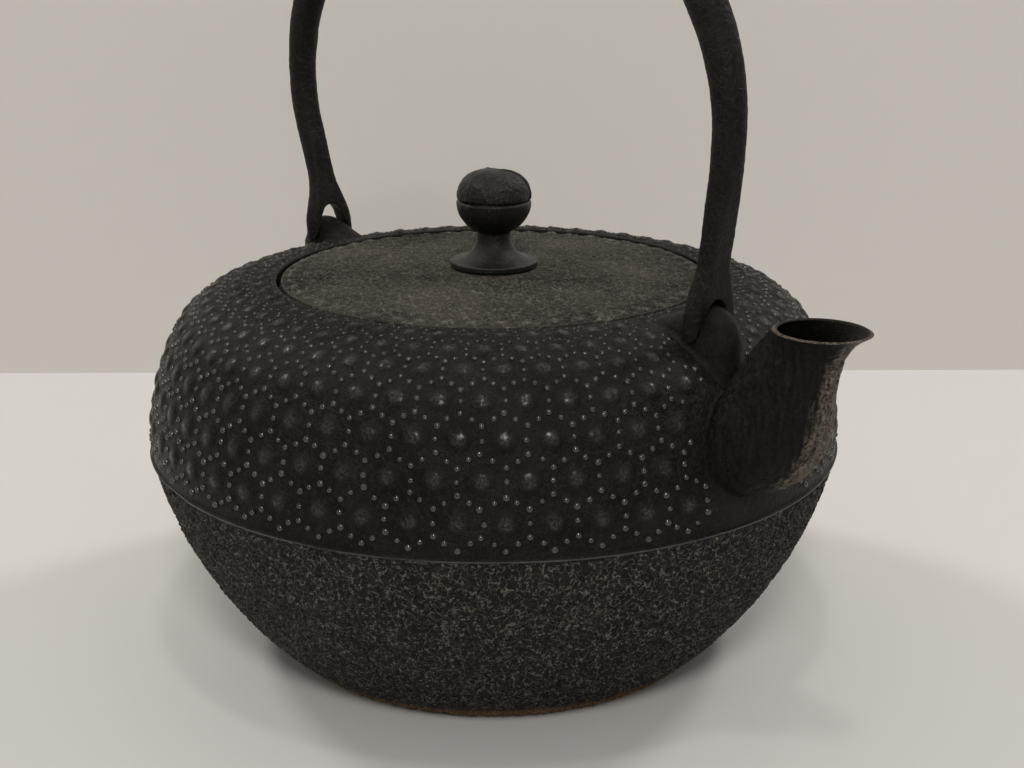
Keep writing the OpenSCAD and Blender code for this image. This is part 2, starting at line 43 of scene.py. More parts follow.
# Body, in millimetres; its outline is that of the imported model
BASE_R = 68.5
BELLY_R = 107.0
SEAM_Z = 66.0
RIM_Z = 116.0
WALL = 3.2
FLOOR_T = 4.0
BOWL_LEAN = math.radians(12)
SIDE_ARC_R = 75.0
SHOULDER_ARC_R = 24.0
TOP_ARC_R = 58.0
RIM_SLOPE = math.radians(2.5)
RIM_ROUND = 0.6
LEDGE_W = 6.0
LEDGE_T = 3.0
PORT_R = 9.0
PORT_CUT = 30.0
PORT_IN = 5.0
LEDGE_BREAK = 0.2
BASE_BREAK = 1.2
BODY_COLUMNS = 1200
BODY_ROW = 0.58
AXIS_R = 1.0
MIDWAY_R = 30.0

# Line along the seam, in millimetres; it is rubbed down in patches, to a share of its height
SEAM_LINE_H = 0.7
SEAM_LINE_W = 0.4
SEAM_PATCH = 26.0
SEAM_LEAST = 0.45

# Crinkled skin below the seam, in millimetres
CRINKLE_H = 0.75
CRINKLE_SCALE = 2.1
CRINKLE_W = 0.3
CRINKLE_SINK = 0.45
CRINKLE_FADE = 1.6
LUMP_H = 0.34
LUMP_SCALE = 3.4

# Finer skin above the seam, in millimetres; it is wrinkled near the rim, from a share of the way up
SKIN_H = 0.1
SKIN_SCALE = 1.9
RIM_CRINKLE_H = 0.42
RIM_CRINKLE_SCALE = 2.4
RIM_CRINKLE_W = 0.34
RIM_CRINKLE_SINK = 0.16
RIM_CRINKLE_START = 0.55
RIM_CRINKLE_RUN = 0.3
RIM_FADE = 1.2

# Bead pattern of the upper half: sizes in millimetres, and in shares of a cell's side or width
CELLS = 54
PATTERN_UP = 3.0
DOME_H = 0.9
DOME_SHARE = 0.58
DOME_SPREAD = 0.29
BEAD_SHARE = 0.076
EDGE_BEAD = 0.88
BEAD_FADE = 0.62
BEAD_FADE_START = 0.62
BEAD_ROOM = 0.6
BEAD_FLAT = 0.8
BEAD_STRAY = 0.2
BEAD_STRAY_UP = 0.18
BEAD_VARY = 0.07
BEAD_VARY_MOST = 0.1

# Lid, in millimetres
LID_R = 66.0
LID_GAP = 0.9
LID_DROP = 1.2
LID_EDGE_T = 3.0
LID_PLATE_T = 2.8
LID_RISE = 3.3
LID_RING_H = 4.0
LID_RING_T = 2.6
LID_RING_GAP = 0.6
LID_SEAT_GAP = 0.3
LID_BUMP_ROWS = 6
LID_BUMP_PITCH = 6.4
LID_BUMP_H = 0.6
LID_BUMP_SHARE = 0.46
LID_BUMP_START = 0.45
LID_BUMP_LIGHTEN = 0.8
LID_CRINKLE_H = 0.5
LID_CRINKLE_SCALE = 2.6
LID_CRINKLE_W = 0.34
LID_LUMP_H = 0.25
LID_LUMP_SCALE = 4.5
LID_SINK = 0.3
LID_EDGE_FADE = 1.5
LID_EDGE_BREAK = 0.4
LID_ROUND = 0.7
LID_IN = 0.4
LID_UP = 1.0
LID_ASKEW = 0.5

# Knob, in millimetres
FOOT_R = 13.5
FOOT_H = 1.8
FOOT_LIP = 0.3
NECK_R = 5.1
BUD_R = 11.6
CUP_ROUND = 10.4
BUD_ROUND = 9.4
BUD_RISE = 8.9
BUD_SQUARE = 0.86
BUD_SIDE_H = 0.4
GROOVE_UP = 0.2
KNOB_PLAY = 0.3
STEM_R = 3.0
STEM_CLEAR = 0.3
WASHER_T = 1.2
PEEN_R = 4.6
PEEN_T = 1.2
PEEN_BREAK = 0.4
FOOT_BREAK = 0.3
TIP_R = 0.4
PETALS = 3
PETAL_TURN = math.radians(35)
PETAL_GROOVE = 0.85
PETAL_GROOVE_W = 0.45
PETAL_LAP = 0.5
PETAL_LAP_W = 3.0
PETAL_SINK = 0.2
PETAL_PIT_H = 0.16
BUD_GROOVE = 0.75
BUD_GROOVE_W = 0.4
BUD_LUMP_H = 0.12
FOOT_LUMP_H = 0.06
FOOT_PIT_H = 0.03
KNOB_LUMP_SCALE = 4.0
KNOB_PIT_SCALE = 1.3
KNOB_LIFT_MOST = 0.3
KNOB_CALM_R = 4.0

# Lugs, in millimetres
LUG_MID = BELLY_R - 20.0
LUG_LEN = 25.0
LUG_W = 15.4
LUG_H = 10.6
LUG_LEAN = 1.5
PIN_UP = 4.3
LUG_FLARE = 1.0
LUG_SINK = 2.0
LUG_TAPER = 0.6
CROWN_TAPER = 0.42
LUG_FILLET = 1.0
LUG_RAMP_X = 70.0
LUG_LUMP_H = 0.3
LUG_LUMP_SCALE = 6.0
FRONT_CROWN_LIFT = 0.2
REAR_CROWN_LIFT = -1.2

# Bail, in millimetres
PIN_D = 4.2
PIN_CLEAR = 0.3
PIN_LEN = 3.0
LEG_R = 9.5 / 2
CROWN_R = 13.5 / 2
BAIL_BULGE = 8.6
BAIL_WIDE_H = 53.0
BAIL_RISE = 75.0
BAIL_BACK = 4.0
FORK_W = 18.6
CROTCH_H = {-1: 9.6, 1: 8.2}
CROTCH_W = {-1: 8.0, 1: 7.0}
FORK_GAP = 13.2
FORK_START = 20.0
FORK_FULL = 3.0
PRONG_TAIL = 2.6
FLAT_START = 49.0
FLAT_T = 6.0
TIP_T = 6.2
LEG_PROBE = 0.5
BAIL_VOXEL = 0.55
DENT_H = 0.16
DENT_SCALE = 9.0
PIT_H = 0.09
PIT_SCALE = 1.4

# Spout, in millimetres
SPOUT_REACH = 31.5
LIP_Z = 123.3
MOUTH_LEN = 28.5
MOUTH_W = 19.4
MOUTH_DROP = 2.9
ROOT_Z = 88.0
ROOT_H = 32.5
ROOT_W = 35.0
NECK_W = 12.6
CHIN_OUT = 36.0
CHIN_UP = 9.5
NECK_OUT = 9.5
NECK_DROP = 11.5
SPOUT_WALL = 2.6
LIP_T = 1.5
ROOT_SINK = 7.0
BACK_SINK = 10.5
BACK_SAG = np.array([-2, 2])
CHIN_FILLET = 0.5
BACK_FILLET = 1.5
LIP_ROUND = 0.4
TOOL_MARK_H = 0.42
TOOL_MARK_SCALE = 1.5
TOOL_MARK_STRETCH = np.array([1, 1, 0.16])
SPOUT_LUMP_H = 0.3
SPOUT_LUMP_SCALE = 8.0
SPOUT_SINK = 0.15

# How the hand-made mouth differs from a plain oval: one side and the back stand higher, the sides draw in
MOUTH_ROLL = 1.0
MOUTH_BACK_UP = 1.2
MOUTH_PINCH = 0.9
MOUTH_ZONE = 0.6

# Brown side of the spout, painted lighter as the side lit from the right and partly brown wear: its middle,
# round from the chin, its streaks, and how much lighter the lip is
SPOUT_LIT_WORN_SIDE = math.radians(25)
SPOUT_STREAK = 0.4
LIP_LIGHTEN = 0.86

# Depth to which a piece's foot is sunk into the body's surface
SEAT_DEPTH = 1.2

# Camera of the photograph, in millimetres, radians and pixels of the frame
VIEW_AZIMUTH = math.radians(48.5)
CAMERA_DISTANCE = 458.3
CAMERA_HEIGHT = 223.9
CAMERA_PITCH = 0.305
FOCAL_PIXELS = 1512.0
IMAGE_WIDTH = 1024.0
AXIS_COLUMN = 493.5
SENSOR_WIDTH = 36.0

# Directions to the camera's right and away from it
RIGHT = np.array([math.cos(VIEW_AZIMUTH), math.sin(VIEW_AZIMUTH), 0])
DEPTH = np.array([-math.sin(VIEW_AZIMUTH), math.cos(VIEW_AZIMUTH), 0])

# Stage, in millimetres
WALL_BEHIND = 274.0
STAGE_SPAN = 4000.0


def smooth(t):
    t = np.clip(t, 0.0, 1.0)
    return t * t * (3 - 2 * t)


def angle_of(v):
    return math.atan2(v[1], v[0])


def arc_meet(c0, r0, c1, r1):
    """The upper one of the two points at distance r0 from c0 and r1 from c1."""
    d = np.linalg.norm(c1 - c0)
    along = (r0 * r0 - r1 * r1 + d * d) / (2 * d)
    across = math.sqrt(r0 * r0 - along * along)
    e = (c1 - c0) / d
    return c0 + along * e + across * np.array([-e[1], e[0]])


# Outline of the body: tangent arcs above the seam, one arc below it
RIM_R = LID_R + LID_GAP
SIDE_C = np.array([BELLY_R - SIDE_ARC_R, SEAM_Z])
TOP_C = np.array([RIM_R - TOP_ARC_R * math.sin(RIM_SLOPE), RIM_Z - TOP_ARC_R * math.cos(RIM_SLOPE)])
SHOULDER_C = arc_meet(SIDE_C, SIDE_ARC_R - SHOULDER_ARC_R, TOP_C, TOP_ARC_R - SHOULDER_ARC_R)
SIDE_END = angle_of(SHOULDER_C - SIDE_C)
SHOULDER_END = angle_of(SHOULDER_C - TOP_C)
RIM_END = math.pi / 2 - RIM_SLOPE
DROP = np.array([BELLY_R - BASE_R, SEAM_Z])
BOWL_ARC_R = DROP @ DROP / (2 * (DROP[0] * math.cos(BOWL_LEAN) - DROP[1] * math.sin(BOWL_LEAN)))
BOWL_C = np.array([BELLY_R - BOWL_ARC_R * math.cos(BOWL_LEAN), SEAM_Z + BOWL_ARC_R * math.sin(BOWL_LEAN)])
BASE_END = angle_of(np.array([BASE_R, 0]) - BOWL_C)

# Levels of the lid and the knob
LID_EDGE_Z = RIM_Z - LID_DROP
LID_UNDER_Z = LID_EDGE_Z - LID_EDGE_T
LEDGE_Z = LID_UNDER_Z - LID_SEAT_GAP
LEDGE_R = RIM_R - LEDGE_W
LID_TOP_Z = LID_EDGE_Z + LID_RISE
KNOB_Z = LID_TOP_Z + KNOB_PLAY
FLARE_R = FOOT_R - FOOT_LIP - NECK_R
CUP_Z = FOOT_H + FLARE_R + CUP_ROUND
BUD_Z = CUP_Z + BUD_SIDE_H


class Outline:
    """Arcs laid end to end; at() gives points and outward normals at distances along them."""

    def __init__(self, arcs):
        points, normals = [], []
        for centre, radius, start, end in arcs:
            angles = np.linspace(start, end, 200)
            rays = np.stack([np.cos(angles), np.sin(angles)], 1)
            points.append(centre + radius * rays)
            normals.append(rays)
        self.points = np.concatenate(points)
        self.normals = np.concatenate(normals)
        steps = np.linalg.norm(np.diff(self.points, axis=0), axis=1)
        self.way = np.concatenate([[0], np.cumsum(steps)])
        self.length = self.way[-1]

    def at(self, distance):
        point = [np.interp(distance, self.way, self.points[:, k]) for k in (0, 1)]
        normal = [np.interp(distance, self.way, self.normals[:, k]) for k in (0, 1)]
        return np.stack(point, -1), np.stack(normal, -1)


UPPER = Outline([
    (SIDE_C, SIDE_ARC_R, 0, SIDE_END),
    (SHOULDER_C, SHOULDER_ARC_R, SIDE_END, SHOULDER_END),
    (TOP_C, TOP_ARC_R, SHOULDER_END, RIM_END),
])
LOWER = Outline([(BOWL_C, BOWL_ARC_R, BASE_END, -BOWL_LEAN)])
BODY_POINTS = np.concatenate([LOWER.points[::4], UPPER.points[::4]])
BODY_NORMALS = np.concatenate([LOWER.normals[::4], UPPER.normals[::4]])


def outline_z(r):
    """Height of the upper half's surface at a distance from the axis."""
    order = np.argsort(UPPER.points[:, 0])
    return float(np.interp(r, UPPER.points[order, 0], UPPER.points[order, 1]))


def above_body(points):
    """Distance of points from the plain surface of the body, outwards."""
    flat = np.stack([np.hypot(points[..., 0], points[..., 1]), points[..., 2]], -1).reshape(-1, 2)
    gaps = flat[:, None] - BODY_POINTS[None]
    nearest = np.argmin((gaps ** 2).sum(-1), axis=1)
    gap = gaps[np.arange(len(flat)), nearest]
    return (gap * BODY_NORMALS[nearest]).sum(-1).reshape(points.shape[:-1])


def fillet(height, radius):
    """How far a hollow fillet reaches outwards at a height above the surface it runs into."""
    t = np.clip(1 - height / radius, 0, 1)
    return radius * (1 - np.sqrt(1 - t * t))


# Levels of the lugs and the bail
SHOULDER_Z = outline_z(LUG_MID)
PIN_Z = SHOULDER_Z + PIN_UP
ARCH_Z = PIN_Z + BAIL_WIDE_H
ARCH_HALF = LUG_MID + BAIL_BULGE


def add_object(name, mesh):
    piece = bpy.data.objects.new(name, mesh)
    bpy.context.scene.collection.objects.link(piece)
    return piece


def mesh_from(name, points, faces):
    """A mesh from points in millimetres."""
    mesh = bpy.data.meshes.new(name)
    mesh.from_pydata((np.asarray(points) * MM).tolist(), [], faces)
    mesh.update()
    return mesh


def shade(piece, sharp_degrees):
    piece.data.shade_smooth()
    piece.data.set_sharp_from_angle(angle=math.radians(sharp_degrees))


def ring_faces(rows, columns):
    """Faces of a skin over closed rings of points."""
    k, i = np.meshgrid(np.arange(rows - 1), np.arange(columns), indexing="ij")
    a = (k * columns + i).ravel()
    b = (k * columns + (i + 1) % columns).ravel()
    return np.stack([a, b, b + columns, a + columns], 1).tolist()


def capped_skin(name, rings):
    """A closed piece over rings of points, with a face on the first and the last ring."""
    rows, columns = rings.shape[:2]
    faces = ring_faces(rows, columns)
    faces.append(list(range(columns))[::-1])
    faces.append([(rows - 1) * columns + i for i in range(columns)])
    piece = add_object(name, mesh_from(name, rings.reshape(-1, 3), faces))
    fix_normals(piece)
    return piece


def looped_skin(name, rings):
    """A closed piece over rings of points, with the last ring joined to the first."""
    rows, columns = rings.shape[:2]
    faces = ring_faces(rows, columns)
    last = (rows - 1) * columns
    faces += [[last + i, last + (i + 1) % columns, (i + 1) % columns, i] for i in range(columns)]
    piece = add_object(name, mesh_from(name, rings.reshape(-1, 3), faces))
    fix_normals(piece)
    return piece


def fix_normals(piece):
    work = bmesh.new()
    work.from_mesh(piece.data)
    bmesh.ops.recalc_face_normals(work, faces=work.faces)
    work.to_mesh(piece.data)
    work.free()


def directions(columns):
    """Angles of the columns of a revolved skin."""
    return 2 * math.pi * np.arange(columns) / columns


def revolved(rows, columns):
    """Points of a revolved skin from rows of radius and height."""
    angles = directions(columns)
    r = rows[:, 0][:, None]
    z = np.broadcast_to(rows[:, 1][:, None], (len(rows), columns))
    return np.stack([r * np.cos(angles), r * np.sin(angles), z], -1)


def grain(points, scale, octaves, seed):
    """Fractal noise from about -1 to 1 at points in millimetres."""
    shift = Vector((seed * 17.3, seed * 5.9, seed * 11.1))
    flat = points.reshape(-1, 3) / scale
    values = [noise.fractal(Vector(p) + shift, 0.7, 2.1, octaves) for p in flat]
    return np.array(values).reshape(points.shape[:-1])


def apply_modifiers(piece):
    evaluated = piece.evaluated_get(bpy.context.evaluated_depsgraph_get())
    mesh = bpy.data.meshes.new_from_object(evaluated)
    piece.modifiers.clear()
    piece.data = mesh


def cut(piece, tool, operation="DIFFERENCE"):
    """Cuts a piece with a tool, or joins the two."""
    modifier = piece.modifiers.new("cut", "BOOLEAN")
    modifier.operation = operation
    modifier.solver = "MANIFOLD"
    modifier.object = tool
    apply_modifiers(piece)
    bpy.data.objects.remove(tool)


def rod(radius, length, place, rotation):
    """A round bar for drilling a hole or for a pin, in millimetres."""
    bpy.ops.mesh.primitive_cylinder_add(
        vertices=64, radius=radius * MM, depth=length * MM,
        location=[p * MM for p in place], rotation=rotation,
    )
    return bpy.context.object


def filled_body(inset):
    """The body without its hollow, drawn in by a distance, for seating pieces on it."""
    rows = np.concatenate([
        [[AXIS_R, 0.5]],
        (LOWER.points - inset * LOWER.normals)[5::8],
        (UPPER.points - inset * UPPER.normals)[::6],
        [[AXIS_R, RIM_Z - inset]],
    ])
    return capped_skin("filled_body", revolved(rows, 240))


# Bead pattern: rows of hexagons by distance along the outline from the seam
def cell_side(way):
    point, _ = UPPER.at(way)
    return 2 * math.pi * point[0] / CELLS / math.sqrt(3)


def cell_rows():
    """Bottom and top of the upright sides of each row of cells."""
    rows = []
    low = PATTERN_UP + cell_side(0) / 2
    side = cell_side(low)
    while low + 0.8 * side < UPPER.length:
        rows.append((low, low + side))
        low += 1.5 * side
        side = cell_side(low)
    return rows


CELL_ROWS = cell_rows()


def on_body(way, angle):
    """A point of the upper half and the outward normal there."""
    point, normal = UPPER.at(way)
    place = np.array([point[0] * math.cos(angle), point[0] * math.sin(angle), point[1]])
    out = np.array([normal[0] * math.cos(angle), normal[0] * math.sin(angle), normal[1]])
    return place, out


def is_covered(point, room):
    """True where a lug or the spout stands on the body, with some room beside it."""
    x, y, z = point
    by_lug = abs(abs(x) - LUG_MID) < LUG_LEN / 2 + LUG_LEAN + room and abs(y) < LUG_W / 2 + LUG_FLARE + room
    by_spout = x > 0 and abs(y) < ROOT_W / 2 + room and z < ROOT_Z + ROOT_H / 2
    return by_lug or by_spout


def dome_height(angles, way):
    """Height of the low dome in the middle of each cell, at angles and distances along the outline."""
    height = np.zeros(np.broadcast(angles, way).shape)
    for j, (low, high) in enumerate(CELL_ROWS):
        middle = (low + high) / 2
        side = high - low
        width = side * math.sqrt(3)
        shift = 0.5 * (j % 2)
        reach = DOME_SHARE * side
        centres = [on_body(middle, 2 * math.pi * (i + shift) / CELLS)[0] for i in range(CELLS)]
        covered = np.array([is_covered(centre, reach) for centre in centres])
        turns = angles / (2 * math.pi) * CELLS - shift
        cell = np.round(turns)
        across = (turns - cell) * width
        d = np.sqrt(across ** 2 + (way - middle) ** 2) / (DOME_SPREAD * width)
        rise = DOME_H * side / cell_side(0) * np.where(covered[cell.astype(int) % CELLS], 0, 1)
        height = np.maximum(height, rise * np.clip(1 - d * d, 0, 1))
    return height


def mark_rubbed_and_lit(piece, shares):
    """Keeps how much each point of a piece is painted lighter, for its finish: 0 is untouched and 1 is
    lightest; it stands partly for rubbed wear and partly for painted light.
    """
    piece.data.attributes.new("rubbed_and_lit", "FLOAT", "POINT").data.foreach_set("value", shares.ravel())


def worms(points, scale, width, seed):
    """Fine winding ridges from 0 to 1, as on a crinkled casting skin."""
    return np.clip(1 - np.abs(grain(points, scale, 2, seed)) / width, 0, 1)


def kettle_casting():
    """The body with its domes above the seam and its crinkled skin below, and the inside."""
    columns = BODY_COLUMNS
    near_seam = SEAM_LINE_W * np.array([0.4, 0.8, 1.2, 2.0])
    low_way = np.linspace(0, LOWER.length, round(LOWER.length / BODY_ROW))
    low_way = np.union1d(low_way, LOWER.length - near_seam)
    up_way = np.linspace(0, UPPER.length, round(UPPER.length / BODY_ROW))
    up_way = np.union1d(up_way, near_seam)[1:]
    angles = directions(columns)
    low_p, low_n = LOWER.at(low_way)
    up_p, up_n = UPPER.at(up_way)
    outer_n = np.concatenate([low_n, up_n])
    outer = revolved(np.concatenate([low_p, up_p]), columns)
    rays = np.stack([np.cos(angles), np.sin(angles)], 1)
    normal = np.concatenate([
        outer_n[:, :1, None] * rays[None],
        np.broadcast_to(outer_n[:, 1:, None], (len(outer_n), columns, 1)),
    ], -1)
    rows_low = len(low_way)
    height = np.zeros(outer.shape[:2])

    # Crinkled skin below the seam, fading out at the seam
    low_points = outer[:rows_low]
    fade = smooth((LOWER.length - low_way) / CRINKLE_FADE)[:, None]
    crinkle = CRINKLE_H * worms(low_points, CRINKLE_SCALE, CRINKLE_W, seed=1)
    crinkle += LUMP_H * grain(low_points, LUMP_SCALE, octaves=2, seed=2)
    height[:rows_low] = (crinkle - CRINKLE_SINK) * fade

    # Domes, a faint unevenness above the seam and wrinkles near the rim
    up_points = outer[rows_low:]
    height[rows_low:] = dome_height(angles[None], up_way[:, None])
    off_seam = smooth((up_way - 1) / 2)[:, None]
    height[rows_low:] += SKIN_H * grain(up_points, SKIN_SCALE, octaves=2, seed=3) * off_seam
    near_rim = smooth((up_way / UPPER.length - RIM_CRINKLE_START) / RIM_CRINKLE_RUN)
    near_rim = near_rim * smooth((UPPER.length - up_way) / RIM_FADE)
    wrinkles = RIM_CRINKLE_H * worms(up_points, RIM_CRINKLE_SCALE, RIM_CRINKLE_W, seed=14)
    height[rows_low:] += (wrinkles - RIM_CRINKLE_SINK) * near_rim[:, None]

    # Raised line along the seam, rubbed down here and there
    to_seam = np.concatenate([LOWER.length - low_way, up_way])
    along = grain(outer[rows_low - 1], SEAM_PATCH, octaves=2, seed=4)
    ridge = SEAM_LINE_H * np.exp(-((to_seam / SEAM_LINE_W) ** 2))
    height += ridge[:, None] * (SEAM_LEAST + (1 - SEAM_LEAST) * smooth(along * 1.5 + 0.8))[None]

    outer = outer + height[..., None] * normal
    outer[..., 2] = np.maximum(outer[..., 2], 0)

    # Rounded rim, seat of the lid, ledge and inside
    inner_up = UPPER.points - WALL * UPPER.normals
    inner_up = inner_up[inner_up[:, 1] < LEDGE_Z - LEDGE_T][::-12]
    inner_low = LOWER.points - WALL * LOWER.normals
    inner_low = inner_low[inner_low[:, 1] > FLOOR_T][::-10]
    rim = [(RIM_R + RIM_ROUND * (1 - math.sin(a)), RIM_Z - RIM_ROUND * (1 - math.cos(a)))
           for a in np.linspace(0.2, math.pi / 2, 6)]
    inside = np.concatenate([
        rim,
        [[RIM_R, LEDGE_Z], [LEDGE_R + LEDGE_BREAK, LEDGE_Z], [LEDGE_R, LEDGE_Z - LEDGE_BREAK]],
        [[LEDGE_R, LEDGE_Z - LEDGE_T], [inner_up[0, 0], LEDGE_Z - LEDGE_T]],
        inner_up, inner_low,
        [[inner_low[-1, 0] - 2, FLOOR_T], [MIDWAY_R, FLOOR_T], [AXIS_R, FLOOR_T]],
    ])
    outer = outer[:-1]
    base = np.array([[AXIS_R, 0], [MIDWAY_R, 0], [BASE_R - BASE_BREAK, 0]])
    rings = np.concatenate([revolved(base, columns), outer, revolved(inside, columns)])
    piece = capped_skin("kettle_casting", rings)

    # The tops of the domes are marked to be painted lighter and glossier: partly rubbed wear, partly a
    # painted highlight
    rubbed_and_lit = np.zeros(rings.shape[:2])
    domes = dome_height(angles[None], up_way[:-1, None])
    full = DOME_H * np.array([cell_side(way) for way in up_way[:-1]]) / cell_side(0)
    rubbed_and_lit[len(base) + rows_low:len(base) + len(outer)] = domes / full[:, None]
    mark_rubbed_and_lit(piece, rubbed_and_lit)

    # Finish by row: crinkled below the seam, beaded above it, plain inside, and the line along the seam,
    # which is painted lighter as a highlight on it
    face_row = np.repeat(np.arange(len(rings) - 1), columns)
    index = np.full(len(piece.data.polygons), 2, np.int32)
    index[:len(face_row)][face_row < len(base) + len(outer) + len(rim)] = 0
    index[:len(face_row)][face_row < len(base) + rows_low - 1] = 1
    seam = np.abs(face_row + 0.5 - len(base) - rows_low + 1) < 1
    index[:len(face_row)][seam] = 3
    index[-2] = 1
    piece.data.polygons.foreach_set("material_index", index)
    cut(piece, rod(PORT_R, PORT_CUT, (BELLY_R - PORT_IN, 0, ROOT_Z), (0, math.pi / 2, 0)))
    shade(piece, 70)
    return piece


def bead_template():
    """A bead of radius 1, sunk a little into the surface."""
    sides = 12
    rings = [(0.3, 0.95), (0.62, 0.78), (0.86, 0.5), (1.0, 0.1), (1.02, -0.5)]
    points = [(0, 0, 1)]
    for r, h in rings:
        points += [(r * math.cos(a), r * math.sin(a), h) for a in directions(sides)]
    faces = [[0, 1 + i, 1 + (i + 1) % sides] for i in range(sides)]
    for k in range(len(rings) - 1):
        for i in range(sides):
            a, b = 1 + k * sides + i, 1 + k * sides + (i + 1) % sides
            faces.append([a, a + sides, b + sides, b])
    last = 1 + (len(rings) - 1) * sides
    faces.append([last + i for i in range(sides)][::-1])
    return np.array(points), faces


def bead_places():
    """Angle, distance along the outline and radius of a bead at each corner and side of the cells."""
    places = []
    for j, (low, high) in enumerate(CELL_ROWS):
        side = high - low
        to_rim = smooth((high / UPPER.length - BEAD_FADE_START) / (1 - BEAD_FADE_START))
        size = BEAD_SHARE * side * math.sqrt(3) * (1 + (BEAD_FADE - 1) * to_rim)
        shift = 0.5 * (j % 2)
        levels = [(0.5, low, 1.0), (0.5, (low + high) / 2, EDGE_BEAD), (0.5, high, 1.0)]
        levels += [(0.25, high + side / 4, EDGE_BEAD), (-0.25, high + side / 4, EDGE_BEAD)]
        if j == 0:
            levels += [(0.25, low - side / 4, EDGE_BEAD), (-0.25, low - side / 4, EDGE_BEAD)]
            levels += [(0.0, low - side / 2, 1.0)]
        if j == len(CELL_ROWS) - 1:
            levels += [(0.0, high + side / 2, 1.0)]
        for across, way, share in levels:
            if way > UPPER.length - 1:
                continue
            places += [(2 * math.pi * (i + shift + across) / CELLS, way, size * share) for i in range(CELLS)]
    return places


def arare_beads():
    """The small beads on the corners and sides of the cells."""
    rng = np.random.default_rng(11)
    template, template_faces = bead_template()
    points, faces = [], []
    for angle, way, size in bead_places():
        angle += rng.normal(0, BEAD_STRAY) / BELLY_R
        way += rng.normal(0, BEAD_STRAY_UP)
        size *= 1 + np.clip(rng.normal(0, BEAD_VARY), -BEAD_VARY_MOST, BEAD_VARY_MOST)
        centre, out = on_body(way, angle)
        if is_covered(centre, BEAD_ROOM):
            continue
        along = np.array([-math.sin(angle), math.cos(angle), 0])
        up = np.cross(out, along)
        first = len(points) * len(template)
        points.append(centre + size * (template @ np.stack([along, up, out * BEAD_FLAT])))
        faces += [[first + i for i in face] for face in template_faces]
    piece = add_object("arare_beads", mesh_from("arare_beads", np.concatenate(points), faces))
    shade(piece, 80)
    return piece


# Lines of the spout in its upright plane, from inside the body's wall to the lip
LIP = np.array([BELLY_R + SPOUT_REACH, LIP_Z])
CHIN_LINE = np.array([
    [BELLY_R - ROOT_SINK, ROOT_Z - ROOT_H / 2],
    [BELLY_R + CHIN_OUT, ROOT_Z - ROOT_H / 2 + CHIN_UP],
    [BELLY_R + NECK_OUT, LIP_Z - NECK_DROP],
    LIP,
])
BACK_LIP = LIP - np.array([MOUTH_LEN, MOUTH_DROP])
BACK_ROOT = np.array([BELLY_R - BACK_SINK, ROOT_Z + ROOT_H / 2 - ROOT_SINK])
BACK_LINE = np.array([
    BACK_ROOT,
    BACK_ROOT + (BACK_LIP - BACK_ROOT) / 3 + BACK_SAG,
    BACK_ROOT + (BACK_LIP - BACK_ROOT) * 2 / 3 + BACK_SAG,
    BACK_LIP,
])
WIDTH_LINE = np.array([ROOT_W, ROOT_W, NECK_W, MOUTH_W]) / 2


def curve(control, t):
    """Points on a curve with four control points."""
    t = np.asarray(t)[..., None] if control.ndim > 1 else np.asarray(t)
    start = (1 - t) ** 3 * control[0] + 3 * t * (1 - t) ** 2 * control[1]
    return start + 3 * t * t * (1 - t) * control[2] + t ** 3 * control[3]


def spout_rings(steps, sides, trim):
    """Oval rings of the spout, with a wall taken off them."""
    low, high = curve(CHIN_LINE, steps), curve(BACK_LINE, steps)
    half_w = curve(WIDTH_LINE, steps) - trim
    middle = (low + high) / 2
    half = (low - high) / 2
    half = half * (1 - trim / np.linalg.norm(half, axis=1))[:, None]
    a = directions(sides)
    flat = middle[:, None] + half[:, None] * np.cos(a)[None, :, None]
    zone = smooth((steps - MOUTH_ZONE) / (1 - MOUTH_ZONE))[:, None]
    y = half_w[:, None] * np.sin(a) * (1 + (MOUTH_PINCH - 1) * zone)
    lift = zone * (MOUTH_ROLL * np.sin(a) + MOUTH_BACK_UP * (0.5 - 0.5 * np.cos(a)))
    return np.stack([flat[..., 0], y, flat[..., 1] + lift], -1)


def spout_casting():
    """The spout with a fillet into the body, tooled marks, a flared lip and an open bore."""
    sides = 180
    steps = np.linspace(0, 1, 120)
    outside = spout_rings(steps, sides, np.zeros_like(steps))
    wall = SPOUT_WALL + (LIP_T - SPOUT_WALL) * smooth(steps)
    bore = spout_rings(steps, sides, wall)
    out = outside - outside.mean(1, keepdims=True)
    out /= np.linalg.norm(out, axis=-1, keepdims=True)
    back_share = smooth((-np.cos(directions(sides)) - 0.2) / 0.8)[None]
    reach = CHIN_FILLET + (BACK_FILLET - CHIN_FILLET) * back_share
    flare = fillet(above_body(outside), reach)
    marks = grain(outside * TOOL_MARK_STRETCH, TOOL_MARK_SCALE, octaves=3, seed=5)
    lumps = grain(outside, SPOUT_LUMP_SCALE, octaves=2, seed=6)
    fade = 1 - smooth(steps * 8 - 7)[:, None]
    skin = (TOOL_MARK_H * marks + SPOUT_LUMP_H * lumps - SPOUT_SINK) * fade
    outside = outside + out * (flare + skin)[..., None]
    lip_mid = (outside[-1] + bore[-1]) / 2
    lip_mid[:, 2] += LIP_ROUND
    piece = looped_skin("spout_casting", np.concatenate([outside, lip_mid[None], bore[::-1]]))
    # The spout's side towards the light is painted lighter brown: painted light, with brown wear, streaked
    # along the tool marks; the lip is painted lighter too
    chin = smooth((np.cos(directions(sides) - SPOUT_LIT_WORN_SIDE) - 0.1) / 0.85)[None]
    lightened = np.zeros((2 * len(steps) + 1, sides))
    lightened[:len(steps)] = chin * (1.0 + SPOUT_STREAK * marks) * smooth(steps * 4)[:, None]
    lightened[len(steps) - 1:len(steps) + 1] = LIP_LIGHTEN
    mark_rubbed_and_lit(piece, lightened)
    cut(piece, filled_body(SEAT_DEPTH))
    shade(piece, 60)
    return piece


